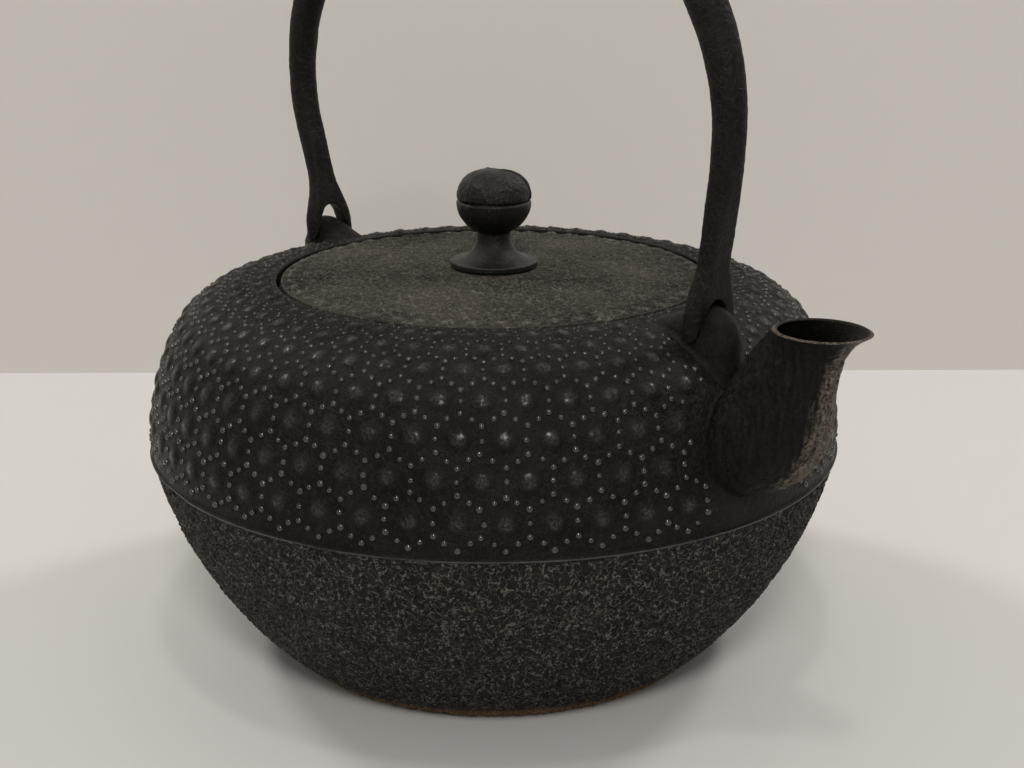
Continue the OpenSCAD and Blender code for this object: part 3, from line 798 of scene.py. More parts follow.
# Lugs and bail
def lug_casting(name, side, crown_lift):
    """One of the two pierced humps that the bail's forks straddle, with a ramp towards the lid."""
    sides = 96
    crown = LUG_H + crown_lift
    foot_z = outline_z(LUG_MID + LUG_LEN / 2 - LUG_LEAN) - LUG_SINK
    ramp_z = outline_z(LUG_RAMP_X)
    below = np.linspace(foot_z, SHOULDER_Z, 16)[:-1]
    above = SHOULDER_Z + crown * (1 - np.linspace(1, 0.012, 48) ** 2)
    a = -directions(sides)
    inward = side * np.cos(a) < 0
    rings = []
    for z in np.concatenate([below, above]):
        share = min(1, max(0, (SHOULDER_Z + crown - z) / crown))
        flare = LUG_FLARE * min(1, max(0, (SHOULDER_Z - z) / (SHOULDER_Z - foot_z)))
        half_len = LUG_LEN / 2 * share ** CROWN_TAPER + flare
        half_w = LUG_W / 2 * share ** CROWN_TAPER + flare
        middle = LUG_MID + LUG_LEAN * (1 - 2 * share)
        ramp = (middle - LUG_RAMP_X) * min(1, (SHOULDER_Z + crown - z) / (SHOULDER_Z + crown - ramp_z))
        reach = np.where(inward, max(half_len, ramp), half_len)
        x = side * middle + reach * np.cos(a)
        rings.append(np.stack([x, half_w * np.sin(a), np.full(sides, z)], 1))
    rings = np.array(rings)
    flare = fillet(above_body(rings), LUG_FILLET)
    flare = flare + LUG_LUMP_H * grain(rings, LUG_LUMP_SCALE, octaves=2, seed=7)
    out = np.stack([np.cos(a), np.sin(a), np.zeros(sides)], 1)
    piece = capped_skin(name, rings + flare[..., None] * out[None])
    hole = rod(PIN_D / 2 + PIN_CLEAR, 2 * LUG_W, (side * LUG_MID, 0, PIN_Z), (math.pi / 2, 0, 0))
    cut(piece, hole)
    cut(piece, filled_body(SEAT_DEPTH))
    shade(piece, 60)
    return piece


def leg_point(side, up):
    """Middle of a leg of the bail at a height above the pins."""
    swing = smooth(up / BAIL_WIDE_H)
    return np.array([side * (LUG_MID + BAIL_BULGE * swing) - BAIL_BACK * swing, PIN_Z + up])


def bail_ring(centre, inward, r, flat, width, sides):
    a = directions(sides)
    u = np.clip(r * np.cos(a), -flat, flat)
    p = centre[None] + u[:, None] * inward[None]
    return np.stack([p[:, 0], width * np.sin(a), p[:, 1]], 1)


def leg_ring(side, up, sides):
    d = leg_point(side, up + LEG_PROBE) - leg_point(side, up - LEG_PROBE)
    inward = -side * np.array([d[1], -d[0]]) / np.linalg.norm(d)
    if up > FORK_START:
        share = min(1, max(0, (FLAT_START - up) / (FLAT_START - FORK_START)))
        flat = LEG_R + (FLAT_T / 2 - LEG_R) * share
    else:
        share = min(1, (FORK_START - up) / FORK_START)
        flat = FLAT_T / 2 + (TIP_T / 2 - FLAT_T / 2) * share
    width = LEG_R + (FORK_W / 2 - LEG_R) * float(smooth((FORK_START - up) / (FORK_START - FORK_FULL)))
    r = LEG_R if up > -PRONG_TAIL else flat
    return bail_ring(leg_point(side, up), inward, r, flat, width, sides)


def arch_ring(a, sides):
    d = np.array([ARCH_HALF * math.sin(a), BAIL_RISE * math.cos(a)])
    inward = np.array([d[1], -d[0]]) / np.linalg.norm(d)
    r = LEG_R + (CROWN_R - LEG_R) * math.sin(a)
    centre = np.array([-BAIL_BACK - ARCH_HALF * math.cos(a), ARCH_Z + BAIL_RISE * math.sin(a)])
    return bail_ring(centre, inward, r, r, r, sides)


def fork_opening(side):
    """The opening between the prongs, as a cutting tool along the body's radius."""
    crotch_r = CROTCH_W[side] / 2
    crotch_z = CROTCH_H[side] - crotch_r
    spread = (FORK_GAP / 2 - crotch_r) / crotch_z
    foot = -2 * PRONG_TAIL
    reach = crotch_r + spread * (crotch_z - foot)
    arc = [(crotch_r * math.cos(a), crotch_z + crotch_r * math.sin(a)) for a in np.linspace(0, math.pi, 25)]
    outline = [(reach, foot)] + arc + [(-reach, foot)]
    ends = [[(side * LUG_MID + x, y, PIN_Z + z) for y, z in outline] for x in (-LUG_LEN / 2, LUG_LEN / 2)]
    return capped_skin("fork_opening", np.array(ends))


def bail_forging():
    """The bail, swept from fork to fork, with pins at the tips of the prongs and a hammered skin."""
    sides = 64
    ups = np.linspace(-PRONG_TAIL, BAIL_WIDE_H, 110)[:-1]
    rear = [leg_ring(-1, up, sides) for up in ups]
    front = [leg_ring(1, up, sides) for up in ups[::-1]]
    arch = [arch_ring(a, sides) for a in np.linspace(0, math.pi, 160)]
    piece = capped_skin("bail_forging", np.array(rear + arch + front))
    pin_root = (FORK_W + FORK_GAP) / 4
    pin_tip = LUG_W / 2 * ((LUG_H - PIN_UP) / LUG_H) ** LUG_TAPER - PIN_LEN
    for side in (-1, 1):
        cut(piece, fork_opening(side))
        for face in (-1, 1):
            place = (side * LUG_MID, face * (pin_tip + pin_root) / 2, PIN_Z)
            cut(piece, rod(PIN_D / 2, pin_root - pin_tip, place, (math.pi / 2, 0, 0)), "UNION")
    remesh = piece.modifiers.new("skin", "REMESH")
    remesh.mode = "VOXEL"
    remesh.voxel_size = BAIL_VOXEL * MM
    soften = piece.modifiers.new("soften", "SMOOTH")
    soften.factor = 0.5
    soften.iterations = 3
    apply_modifiers(piece)
    hammer(piece, seed=8)
    shade(piece, 180)
    return piece


def hammer(piece, seed):
    """Shallow dents and finer pits all over a piece, along its normals."""
    mesh = piece.data
    points = np.empty(len(mesh.vertices) * 3)
    normals = np.empty(len(mesh.vertices) * 3)
    mesh.vertices.foreach_get("co", points)
    mesh.vertices.foreach_get("normal", normals)
    points = points.reshape(-1, 3) / MM
    dents = np.minimum(grain(points, DENT_SCALE, octaves=2, seed=seed), 1) - 1
    pits = np.minimum(grain(points, PIT_SCALE, octaves=2, seed=seed + 1), 1) - 1
    points = points + (DENT_H * dents + PIT_H * pits)[:, None] * normals.reshape(-1, 3)
    mesh.vertices.foreach_set("co", (points * MM).ravel())
    mesh.update()


# Lid and knob
def lid_bumps(angles, r):
    """Low bumps in rings near the lid's edge, fading towards the middle."""
    height = np.zeros((len(r), len(angles)))
    for j in range(LID_BUMP_ROWS):
        middle = LID_R - LID_BUMP_PITCH * (j + LID_BUMP_START)
        width = 2 * math.pi * middle / CELLS
        across = angles / (2 * math.pi) * CELLS - 0.5 * (j % 2)
        across = (across - np.round(across)) * width
        d = np.sqrt(across[None] ** 2 + ((r - middle)[:, None]) ** 2) / (LID_BUMP_SHARE * width)
        rise = LID_BUMP_H * (1 - j / LID_BUMP_ROWS)
        height = np.maximum(height, rise * np.clip(1 - d * d, 0, 1))
    return height


def lid_casting():
    """The lid: a shallow dome with bumps near its edge, a ring below and a hole for the stem, a bit askew."""
    columns = 720
    edge_r = LID_R - LID_IN
    rise = LID_RISE - LID_UP
    dome_r = (edge_r ** 2 + rise ** 2) / (2 * rise)
    ring_r = LEDGE_R - LID_RING_GAP
    hole_r = STEM_R + STEM_CLEAR
    r = np.linspace(hole_r, edge_r - LID_ROUND, 110)
    top = np.stack([r, LID_TOP_Z - dome_r + np.sqrt(dome_r ** 2 - r ** 2)], 1)
    rings = revolved(top, columns)
    rough = LID_CRINKLE_H * worms(rings, LID_CRINKLE_SCALE, LID_CRINKLE_W, seed=9)
    rough = rough + LID_LUMP_H * grain(rings, LID_LUMP_SCALE, octaves=2, seed=10) - LID_SINK
    off_knob = smooth((r - FOOT_R + 1) / 3)[:, None]
    off_edge = smooth((edge_r - r) / LID_EDGE_FADE)[:, None]
    bumps = lid_bumps(directions(columns), r)
    rings[..., 2] += (bumps + rough) * off_edge * off_knob
    edge_z = top[-1, 1]
    edge = [[edge_r - LID_ROUND * (1 - math.sin(a)), edge_z - LID_ROUND * (1 - math.cos(a))]
            for a in np.linspace(0, math.pi / 2, 7)[1:]]
    edge += [[edge_r, LID_UNDER_Z + LID_EDGE_BREAK], [edge_r - LID_EDGE_BREAK, LID_UNDER_Z]]
    under_r = np.linspace(ring_r - LID_RING_T, hole_r, 20)
    under_dome = dome_r - LID_PLATE_T
    under = np.stack([under_r, LID_TOP_Z - dome_r + np.sqrt(under_dome ** 2 - under_r ** 2)], 1)
    foot_z = LID_UNDER_Z - LID_RING_H
    ring = [[ring_r, LID_UNDER_Z], [ring_r, foot_z], [ring_r - LID_RING_T, foot_z]]
    below = np.concatenate([edge, ring, under])
    rings = np.concatenate([rings, revolved(below, columns)])
    outwards = smooth((np.hypot(rings[..., 0], rings[..., 1]) - FOOT_R) / (edge_r - FOOT_R))
    rings[..., 2] -= LID_ASKEW * outwards * (rings @ DEPTH) / edge_r
    piece = looped_skin("lid_casting", rings)
    # The tops of the bumps are marked to be painted lighter
    lightened = np.zeros(rings.shape[:2])
    lightened[:len(r)] = LID_BUMP_LIGHTEN * bumps / LID_BUMP_H
    mark_rubbed_and_lit(piece, lightened)
    shade(piece, 60)
    return piece


def knob_profile():
    """Rows of radius and height above the lid, from the stem's end to the bud's top.

    Also gives the first row of the foot and the first row of the bud.
    """
    washer_z = LID_TOP_Z - LID_PLATE_T - KNOB_PLAY - WASHER_T - KNOB_Z
    peen_z = washer_z - PEEN_T
    stem = [
        (TIP_R, peen_z), (PEEN_R - PEEN_BREAK, peen_z), (PEEN_R, peen_z + PEEN_BREAK),
        (PEEN_R, washer_z - 0.02), (STEM_R, washer_z),
        (STEM_R, 0), (FOOT_R - FOOT_BREAK, 0), (FOOT_R, FOOT_BREAK),
    ]
    lip = [(FOOT_R, h) for h in np.linspace(2 * FOOT_BREAK, FOOT_H - FOOT_BREAK, 5)]
    flare_c = (FOOT_R - FOOT_LIP, FOOT_H + FLARE_R)
    flare = [(flare_c[0] + FLARE_R * math.cos(a), flare_c[1] + FLARE_R * math.sin(a))
             for a in np.linspace(-math.pi / 2, -math.pi, 32)]
    cup_start = -math.acos((NECK_R - BUD_R + CUP_ROUND) / CUP_ROUND)
    cup = [(BUD_R - CUP_ROUND + CUP_ROUND * math.cos(a), CUP_Z + CUP_ROUND * math.sin(a))
           for a in np.linspace(cup_start, 0, 56)]
    side = [(BUD_R, CUP_Z + h) for h in np.linspace(0, BUD_SIDE_H, 4)[1:]]
    crown = []
    for a in np.linspace(0, math.pi / 2 - 0.02, 60)[1:]:
        r = BUD_R - BUD_ROUND + BUD_ROUND * math.cos(a) ** BUD_SQUARE
        crown.append((r, BUD_Z + BUD_RISE * math.sin(a) ** BUD_SQUARE))
    cap = [(r, BUD_Z + BUD_RISE) for r in np.linspace(BUD_R - BUD_ROUND, TIP_R, 6)]
    rows = np.array(stem + lip + flare + cup + side + crown + cap)
    return rows, len(stem), len(stem + lip + flare)


def bud_knob():
    """The knob: a flared foot, a cup and the petals of a closed bud, on a stem hammered over a washer."""
    columns = 288
    rows, stem_rows, foot_rows = knob_profile()
    rings = revolved(rows, columns)
    angles = directions(columns)
    z = rows[:, 1][:, None]
    number = np.arange(len(rows))[:, None]
    bud = number >= foot_rows
    petal = bud & (z > CUP_Z + GROOVE_UP)

    # Each petal ends in a groove and laps over the next one
    part = ((angles - PETAL_TURN) / (2 * math.pi) * PETALS) % 1.0
    span = 2 * math.pi * BUD_R / PETALS
    groove = PETAL_GROOVE * np.exp(-((np.minimum(part, 1 - part) * span / PETAL_GROOVE_W) ** 2))
    lap = PETAL_LAP * np.exp(-(part * span / PETAL_LAP_W))
    lift = np.where(petal, (lap - groove)[None] - PETAL_SINK, 0.0)

    # A groove below the petals, and a cast skin that is rougher on them
    level = (z - CUP_Z - GROOVE_UP) / BUD_GROOVE_W
    lift = lift - np.where(bud, BUD_GROOVE * np.exp(-(level ** 2)), 0)
    lumps = grain(rings, KNOB_LUMP_SCALE, octaves=2, seed=12)
    pits = grain(rings, KNOB_PIT_SCALE, octaves=2, seed=13)
    lift = lift + np.where(bud, BUD_LUMP_H, FOOT_LUMP_H) * lumps
    lift = lift + np.where(petal, PETAL_PIT_H, FOOT_PIT_H) * pits
    near_axis = np.minimum(1, rows[:, 0] / KNOB_CALM_R)[:, None]
    lift = np.where(number < stem_rows, 0, lift * near_axis)
    lift = np.minimum(lift, KNOB_LIFT_MOST)

    slope = np.gradient(rows, axis=0)
    normal = np.stack([slope[:, 1], -slope[:, 0]], 1)
    normal /= np.maximum(np.linalg.norm(normal, axis=1), 1e-9)[:, None]
    rays = np.stack([np.cos(angles), np.sin(angles)], 1)
    rings = rings + lift[..., None] * np.concatenate([
        normal[:, :1, None] * rays[None],
        np.broadcast_to(normal[:, 1:, None], (len(rows), columns, 1)),
    ], -1)
    rings[..., 2] += KNOB_Z
    piece = capped_skin("bud_knob", rings)
    shade(piece, 70)
    return piece


# Finishes
def add_socket(group, name, kind, default=None, out=False):
    item = group.interface.new_socket(name, in_out="OUTPUT" if out else "INPUT", socket_type=kind)
    if default is not None:
        item.default_value = default


def new_group(name, inputs, outputs):
    """An empty node group with named sockets, and its input and output nodes."""
    group = bpy.data.node_groups.new(name, "ShaderNodeTree")
    for label, kind, default in inputs:
        add_socket(group, label, kind, default)
    for label, kind in outputs:
        add_socket(group, label, kind, out=True)
    return group, group.nodes.new("NodeGroupInput"), group.nodes.new("NodeGroupOutput")


COLOUR = "NodeSocketColor"
NUMBER = "NodeSocketFloat"


def noise_node(group, place, scale, detail, roughness):
    """A noise texture at the piece's own coordinates; scale is a number or a socket."""
    node = group.nodes.new("ShaderNodeTexNoise")
    node.inputs["Detail"].default_value = detail
    node.inputs["Roughness"].default_value = roughness
    group.links.new(place.outputs["Object"], node.inputs["Vector"])
    if isinstance(scale, (int, float)):
        node.inputs["Scale"].default_value = scale
    else:
        group.links.new(scale, node.inputs["Scale"])
    return node.outputs["Fac"]


def map_node(group, value, low, high, to_low=0.0, to_high=1.0):
    """A value brought from one range to another; the ends are numbers or sockets."""
    node = group.nodes.new("ShaderNodeMapRange")
    group.links.new(value, node.inputs["Value"])
    ends = {"From Min": low, "From Max": high, "To Min": to_low, "To Max": to_high}
    for label, end in ends.items():
        if isinstance(end, (int, float)):
            node.inputs[label].default_value = end
        else:
            group.links.new(end, node.inputs[label])
    return node.outputs["Result"]


def math_node(group, operation, first, second, clamp=False):
    node = group.nodes.new("ShaderNodeMath")
    node.operation = operation
    node.use_clamp = clamp
    for slot, value in enumerate((first, second)):
        if isinstance(value, (int, float)):
            node.inputs[slot].default_value = value
        else:
            group.links.new(value, node.inputs[slot])
    return node.outputs[0]


def mix_node(group, share, first, second):
    node = group.nodes.new("ShaderNodeMix")
    node.data_type = "RGBA"
    group.links.new(share, node.inputs["Factor"])
    group.links.new(first, node.inputs["A"])
    group.links.new(second, node.inputs["B"])
    return node.outputs["Result"]


def iron_skin_group():
    """Mottled colour, roughness and height of an iron skin with fine winding ridges; its ridges and raised
    edges are painted lighter as a painted highlight, and tops marked in a point attribute are painted
    lighter, partly wear and partly painted highlight, with a coat's polish.
    """
    group, given, result = new_group("iron_skin", [
        ("Dark", COLOUR, (0.01, 0.01, 0.01, 1)),
        ("Light", COLOUR, (0.05, 0.05, 0.05, 1)),
        ("Patch Scale", NUMBER, 60.0),
        ("Grain Scale", NUMBER, 900.0),
        ("Crinkle Scale", NUMBER, 500.0),
        ("Crinkle", NUMBER, 0.5),
        ("Crinkle Width", NUMBER, 0.05),
        ("Mottle", NUMBER, 0.5),
        ("Speckle", NUMBER, 0.3),
        ("Rough Low", NUMBER, 0.4),
        ("Rough High", NUMBER, 0.7),
        ("Edge Light", NUMBER, 0.5),
        ("Rubbed Light", NUMBER, 1.0),
    ], [("Colour", COLOUR), ("Roughness", NUMBER), ("Height", NUMBER), ("Polish", NUMBER)])
    place = group.nodes.new("ShaderNodeTexCoord")
    patches = noise_node(group, place, given.outputs["Patch Scale"], 5, 0.62)
    fine = noise_node(group, place, given.outputs["Grain Scale"], 4, 0.7)
    waves = noise_node(group, place, given.outputs["Crinkle Scale"], 2, 0.5)
    off_middle = math_node(group, "ABSOLUTE", math_node(group, "SUBTRACT", waves, 0.5), 0.0)
    ridge = map_node(group, off_middle, given.outputs["Crinkle Width"], 0.0)
    ridge = math_node(group, "MULTIPLY", ridge, given.outputs["Crinkle"])

    mottle = map_node(group, patches, 0.36, 0.7, 0.0, given.outputs["Mottle"])
    speckle = map_node(group, fine, 0.5, 0.75, 0.0, given.outputs["Speckle"])
    # Raised edges, found by pointiness, are painted lighter: a painted highlight where light would catch them
    shape = group.nodes.new("ShaderNodeNewGeometry")
    raised = map_node(group, shape.outputs["Pointiness"], 0.5, 0.6)
    edge_highlight = math_node(group, "MULTIPLY", raised, given.outputs["Edge Light"])
    # Tops marked in the point attribute are painted lighter, partly rubbed wear and partly a painted
    # highlight; the same mask gives the polish of a coat
    lightened = group.nodes.new("ShaderNodeAttribute")
    lightened.attribute_name = "rubbed_and_lit"
    top = map_node(group, lightened.outputs["Fac"], 0.6, 1.0)
    top = math_node(group, "MULTIPLY", top, map_node(group, fine, 0.4, 0.6))
    rubbed_and_lit = math_node(group, "ADD", edge_highlight, math_node(group, "MULTIPLY", top, given.outputs["Rubbed Light"]))
    share = math_node(group, "ADD", math_node(group, "ADD", mottle, speckle), rubbed_and_lit)
    # The crinkle's ridges are painted lighter as well as raised in the bump: a painted highlight on their
    # tops
    share = math_node(group, "ADD", share, ridge, clamp=True)
    colour = mix_node(group, share, given.outputs["Dark"], given.outputs["Light"])
    rough = map_node(group, fine, 0.3, 0.7, given.outputs["Rough Low"], given.outputs["Rough High"])
    height = math_node(group, "ADD", math_node(group, "MULTIPLY", fine, 0.5), ridge)
    group.links.new(colour, result.inputs["Colour"])
    group.links.new(rough, result.inputs["Roughness"])
    group.links.new(height, result.inputs["Height"])
    group.links.new(top, result.inputs["Polish"])
    return group


def rust_bloom_group():
    """Brown rust in patches, and all along the foot up to a ragged height."""
    group, given, result = new_group("rust_bloom", [
        ("Bare", COLOUR, (0.02, 0.02, 0.02, 1)),
        ("Rust", COLOUR, (0.1, 0.06, 0.03, 1)),
        ("Patch Scale", NUMBER, 30.0),
        ("Patch Start", NUMBER, 0.6),
        ("Foot Height", NUMBER, 0.002),
    ], [("Colour", COLOUR)])
    place = group.nodes.new("ShaderNodeTexCoord")
    split = group.nodes.new("ShaderNodeSeparateXYZ")
    group.links.new(place.outputs["Object"], split.inputs["Vector"])
    patches = noise_node(group, place, given.outputs["Patch Scale"], 6, 0.7)
    full = math_node(group, "ADD", given.outputs["Patch Start"], 0.16)
    bloom = map_node(group, patches, given.outputs["Patch Start"], full, 0.0, 0.75)
    twice = math_node(group, "MULTIPLY", patches, 2.0)
    ragged = math_node(group, "MULTIPLY", given.outputs["Foot Height"], twice)
    foot = map_node(group, split.outputs["Z"], ragged, math_node(group, "MULTIPLY", ragged, 0.4), 0.0, 1.0)
    share = math_node(group, "MAXIMUM", bloom, foot, clamp=True)
    colour = mix_node(group, share, given.outputs["Bare"], given.outputs["Rust"])
    group.links.new(colour, result.inputs["Colour"])
    return group


IRON_SKIN = iron_skin_group()
RUST_BLOOM = rust_bloom_group()
BUMP_DISTANCE = 0.8 * MM


def place_group(material, group, **values):
    """A node group in a material, with its own values; underscores in the names stand for spaces."""
    node = material.node_tree.nodes.new("ShaderNodeGroup")
    node.node_tree = group
    for label, value in values.items():
        slot = node.inputs[label.replace("_", " ")]
        slot.default_value = (*value, 1) if isinstance(value, tuple) else value
    return node


def iron(name, bump, specular, skin, rust=None, polish=None):
    """One iron finish from its skin's values, its rust's values and the roughness of its polished tops."""
    material = bpy.data.materials.new(name)
    material.use_nodes = True
    nodes, links = material.node_tree.nodes, material.node_tree.links
    shader = nodes["Principled BSDF"]
    shader.inputs["Metallic"].default_value = 0.0
    shader.inputs["Specular IOR Level"].default_value = specular
    iron_skin = place_group(material, IRON_SKIN, **skin)
    colour = iron_skin.outputs["Colour"]
    if rust:
        bloom = place_group(material, RUST_BLOOM, **rust)
        links.new(colour, bloom.inputs["Bare"])
        colour = bloom.outputs["Colour"]
    links.new(colour, shader.inputs["Base Color"])
    links.new(iron_skin.outputs["Roughness"], shader.inputs["Roughness"])
    if polish:
        shader.inputs["Coat Roughness"].default_value = polish
        links.new(iron_skin.outputs["Polish"], shader.inputs["Coat Weight"])
    relief = nodes.new("ShaderNodeBump")
    relief.inputs["Strength"].default_value = bump
    relief.inputs["Distance"].default_value = BUMP_DISTANCE
    links.new(iron_skin.outputs["Height"], relief.inputs["Height"])
    links.new(relief.outputs["Normal"], shader.inputs["Normal"])
    return material


arare_iron = iron("arare_iron", bump=0.7, specular=0.09, skin=dict(
    Dark=(0.0038, 0.0038, 0.0036), Light=(0.05, 0.047, 0.042), Patch_Scale=90, Mottle=0.12,
    Grain_Scale=1300, Speckle=0.16, Crinkle_Scale=480, Crinkle=0.16,
    Rough_Low=0.28, Rough_High=0.46, Edge_Light=0.4, Rubbed_Light=0.2,
), polish=0.28)
bead_iron = iron("bead_iron", bump=0.1, specular=0.8, skin=dict(
    Dark=(0.006, 0.0059, 0.0055), Light=(0.045, 0.0435, 0.04), Patch_Scale=90, Mottle=0.5,
    Grain_Scale=1300, Speckle=0.3, Crinkle_Scale=600, Crinkle=0.0,
    Rough_Low=0.08, Rough_High=0.18, Edge_Light=0.5,
))
# The line along the seam is painted lighter in patches: a painted highlight on the raised line
seam_iron = iron("seam_iron", bump=0.3, specular=0.4, skin=dict(
    Dark=(0.006, 0.0058, 0.0053), Light=(0.12, 0.116, 0.105), Patch_Scale=30, Mottle=0.7,
    Grain_Scale=900, Speckle=0.3, Crinkle_Scale=500, Crinkle=0.0,
    Rough_Low=0.25, Rough_High=0.45, Edge_Light=0.0,
))
# The light colour of the crinkled skin goes mostly to its ridges and raised edges, as painted highlight
crinkled_iron = iron("crinkled_iron", bump=1.0, specular=0.14, skin=dict(
    Dark=(0.0045, 0.0043, 0.0038), Light=(0.27, 0.25, 0.21), Patch_Scale=60, Mottle=0.03,
    Grain_Scale=1100, Speckle=0.1, Crinkle_Scale=460, Crinkle=0.85, Crinkle_Width=0.042,
    Rough_Low=0.4, Rough_High=0.65, Edge_Light=0.12,
), rust=dict(Rust=(0.2, 0.125, 0.055), Patch_Scale=26, Patch_Start=0.69, Foot_Height=0.0045))
inside_iron = iron("inside_iron", bump=0.4, specular=0.3, skin=dict(
    Dark=(0.02, 0.016, 0.013), Light=(0.06, 0.04, 0.028), Patch_Scale=45, Mottle=0.5,
    Grain_Scale=900, Speckle=0.3, Crinkle_Scale=400, Crinkle=0.2,
    Rough_Low=0.55, Rough_High=0.8, Edge_Light=0.2,
), rust=dict(Rust=(0.12, 0.055, 0.025), Patch_Scale=40, Patch_Start=0.52, Foot_Height=0.0001))
tooled_iron = iron("tooled_iron", bump=0.8, specular=0.1, skin=dict(
    Dark=(0.0032, 0.0032, 0.0029), Light=(0.17, 0.142, 0.114), Patch_Scale=70, Mottle=0.016,
    Grain_Scale=1100, Speckle=0.02, Crinkle_Scale=560, Crinkle=0.035,
    Rough_Low=0.4, Rough_High=0.62, Edge_Light=0.09,
))
# The light colour of the lid goes mostly to its ridges and raised edges, as painted highlight
lid_iron = iron("lid_iron", bump=1.0, specular=0.12, skin=dict(
    Dark=(0.0045, 0.0042, 0.0035), Light=(0.21, 0.19, 0.156), Patch_Scale=28, Mottle=0.2,
    Grain_Scale=800, Speckle=0.12, Crinkle_Scale=420, Crinkle=0.46, Crinkle_Width=0.045,
    Rough_Low=0.42, Rough_High=0.66, Edge_Light=0.4,
))
knob_black = iron("knob_black", bump=0.5, specular=0.22, skin=dict(
    Dark=(0.003, 0.003, 0.003), Light=(0.036, 0.034, 0.03), Patch_Scale=120, Mottle=0.12,
    Grain_Scale=1500, Speckle=0.3, Crinkle_Scale=700, Crinkle=0.18,
    Rough_Low=0.25, Rough_High=0.45, Edge_Light=0.6,
))
forged_iron = iron("forged_iron", bump=0.7, specular=0.11, skin=dict(
    Dark=(0.0037, 0.0035, 0.0032), Light=(0.04, 0.036, 0.03), Patch_Scale=60, Mottle=0.15,
    Grain_Scale=900, Speckle=0.2, Crinkle_Scale=420, Crinkle=0.2,
    Rough_Low=0.38, Rough_High=0.6, Edge_Light=0.5,
))


def finish_piece(piece, body, node, slot, *materials):
    """Gives a piece its finishes and its body, and hides the imported part that it stands for."""
    faces = np.empty(len(piece.data.polygons), np.int32)
    piece.data.polygons.foreach_get("material_index", faces)
    piece.data.materials.clear()
    for material in materials:
        piece.data.materials.append(material)
    piece.data.polygons.foreach_set("material_index", np.minimum(faces, len(materials) - 1))
    if node:
        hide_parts(node)
    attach(piece, body)


# Pieces of the kettle, with their finishes
body_finishes = arare_iron, crinkled_iron, inside_iron, seam_iron
finish_piece(kettle_casting(), "kettle", "kettle_body", "cast_skin", *body_finishes)
finish_piece(arare_beads(), "kettle", None, "cast_skin", bead_iron)
finish_piece(spout_casting(), "kettle", "spout", "cast_smooth", tooled_iron)
front_lug = lug_casting("front_lug_casting", 1, FRONT_CROWN_LIFT)
rear_lug = lug_casting("rear_lug_casting", -1, REAR_CROWN_LIFT)
finish_piece(front_lug, "kettle", "front_lug", "cast_skin", tooled_iron)
finish_piece(rear_lug, "kettle", "rear_lug", "cast_skin", tooled_iron)
finish_piece(bail_forging(), "kettle", "bail_handle", "forged_bail", forged_iron)
finish_piece(lid_casting(), "lid", "lid_plate", "lid_iron", lid_iron)
finish_piece(bud_knob(), "knob", "lid_knob", "knob_black", knob_black)
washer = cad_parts["knob_washer"]
washer.data.materials.clear()
washer.data.materials.append(lid_iron)


# Stage: table, wall, lamps and camera, set out from the camera's own right, depth and up
def placed(right, depth, up):
    """A point in metres from millimetres to the camera's right, away from it and up."""
    return Vector((RIGHT * right + DEPTH * depth + np.array([0, 0, up])) * MM)


def paint(name, colour, roughness):
    """A plain paint with a faint unevenness."""
    material = bpy.data.materials.new(name)
    material.use_nodes = True
    nodes, links = material.node_tree.nodes, material.node_tree.links
    shader = nodes["Principled BSDF"]
    shader.inputs["Roughness"].default_value = roughness
    tone = nodes.new("ShaderNodeTexNoise")
    tone.inputs["Scale"].default_value = 3
    mix = nodes.new("ShaderNodeMix")
    mix.data_type = "RGBA"
    mix.inputs["A"].default_value = (*(0.985 * c for c in colour), 1)
    mix.inputs["B"].default_value = (*colour, 1)
    place = nodes.new("ShaderNodeTexCoord")
    links.new(place.outputs["Object"], tone.inputs["Vector"])
    links.new(tone.outputs["Fac"], mix.inputs["Factor"])
    links.new(mix.outputs["Result"], shader.inputs["Base Color"])
    return material


def one_sided(material):
    """Lets a backdrop be seen through from behind."""
    nodes, links = material.node_tree.nodes, material.node_tree.links
    shape = nodes.new("ShaderNodeNewGeometry")
    clear = nodes.new("ShaderNodeBsdfTransparent")
    mix = nodes.new("ShaderNodeMixShader")
    links.new(shape.outputs["Backfacing"], mix.inputs["Fac"])
    links.new(nodes["Principled BSDF"].outputs[0], mix.inputs[1])
    links.new(clear.outputs[0], mix.inputs[2])
    links.new(mix.outputs[0], nodes["Material Output"].inputs["Surface"])


def sheet(name, corners, material):
    mesh = bpy.data.meshes.new(name)
    mesh.from_pydata([placed(*c) for c in corners], [], [[0, 1, 2, 3]])
    mesh.materials.append(material)
    piece = add_object(name, mesh)
    return piece


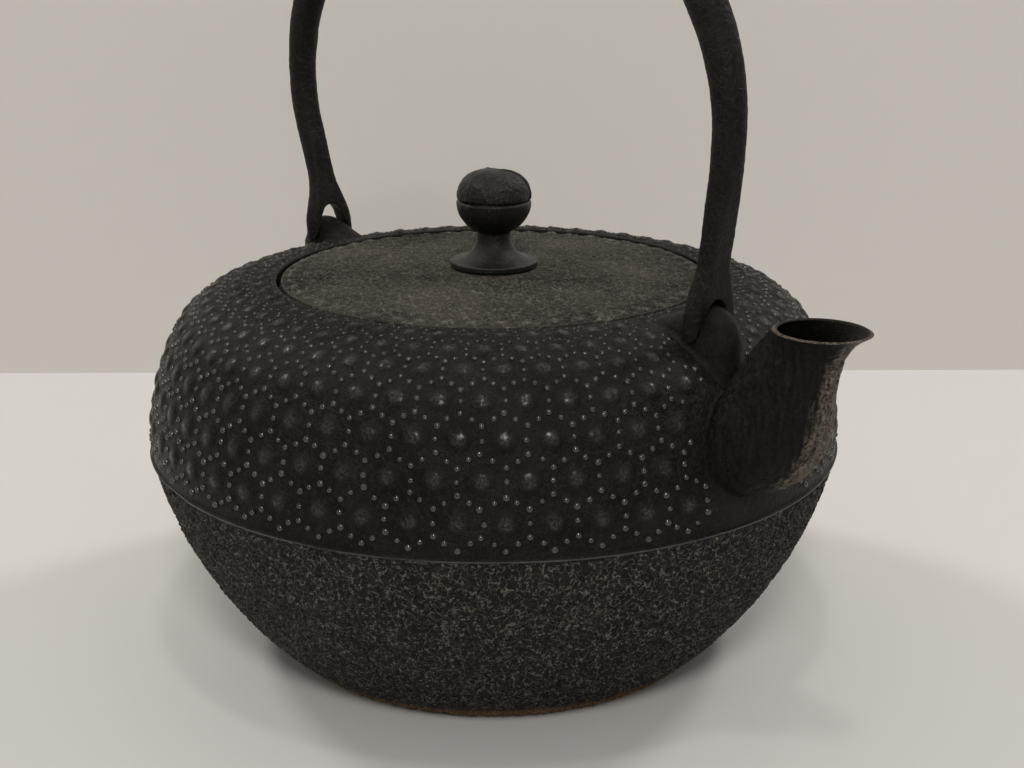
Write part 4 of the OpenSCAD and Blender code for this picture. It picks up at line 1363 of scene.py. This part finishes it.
table_paint = paint("table_paint", (0.63, 0.62, 0.61), 0.6)
wall_paint = paint("wall_paint", (0.71, 0.685, 0.645), 0.9)
one_sided(wall_paint)
FAR = STAGE_SPAN
sheet("table", [(-FAR, -FAR, 0), (FAR, -FAR, 0), (FAR, FAR, 0), (-FAR, FAR, 0)], table_paint)
wall_foot = [(-FAR, WALL_BEHIND, 0), (FAR, WALL_BEHIND, 0)]
wall_top = [(FAR, WALL_BEHIND, FAR / 2), (-FAR, WALL_BEHIND, FAR / 2)]
backdrop = sheet("backdrop", wall_foot + wall_top, wall_paint)
backdrop.visible_shadow = False

LAMP_COLOUR = (1.0, 0.965, 0.92)
LAMP_AIM_Z = 60.0


def lamp(name, right, depth, up, size, power):
    """A round soft lamp that points at the kettle, placed and sized in millimetres."""
    data = bpy.data.lights.new(name, "AREA")
    data.shape = "DISK"
    data.size = size * MM
    data.energy = power
    data.color = LAMP_COLOUR
    piece = bpy.data.objects.new(name, data)
    bpy.context.scene.collection.objects.link(piece)
    piece.location = placed(right, depth, up)
    aim = placed(0, 0, LAMP_AIM_Z) - piece.location
    piece.rotation_euler = aim.to_track_quat("-Z", "Y").to_euler()


lamp("lamp_left", right=-900, depth=450, up=1150, size=260, power=5.6)
lamp("lamp_right", right=900, depth=450, up=1150, size=260, power=5.6)
lamp("lamp_front", right=0, depth=-1000, up=1000, size=300, power=7)
lamp("lamp_above", right=0, depth=-350, up=1400, size=120, power=1.8)

world = bpy.data.worlds.new("room")
world.use_nodes = True
world.node_tree.nodes["Background"].inputs["Color"].default_value = (0.6, 0.595, 0.58, 1)
world.node_tree.nodes["Background"].inputs["Strength"].default_value = 0.6
bpy.context.scene.world = world

camera_data = bpy.data.cameras.new("camera")
camera_data.sensor_width = SENSOR_WIDTH
camera_data.lens = FOCAL_PIXELS / IMAGE_WIDTH * SENSOR_WIDTH
camera_data.clip_start = 0.01
camera = bpy.data.objects.new("camera", camera_data)
bpy.context.scene.collection.objects.link(camera)
camera.location = placed(0, -CAMERA_DISTANCE, CAMERA_HEIGHT)
yaw = math.atan((IMAGE_WIDTH / 2 - AXIS_COLUMN) / FOCAL_PIXELS)
camera.rotation_euler = Euler((math.pi / 2 - CAMERA_PITCH, 0, VIEW_AZIMUTH - yaw))
bpy.context.scene.camera = camera
bpy.context.scene.view_settings.view_transform = "Standard"
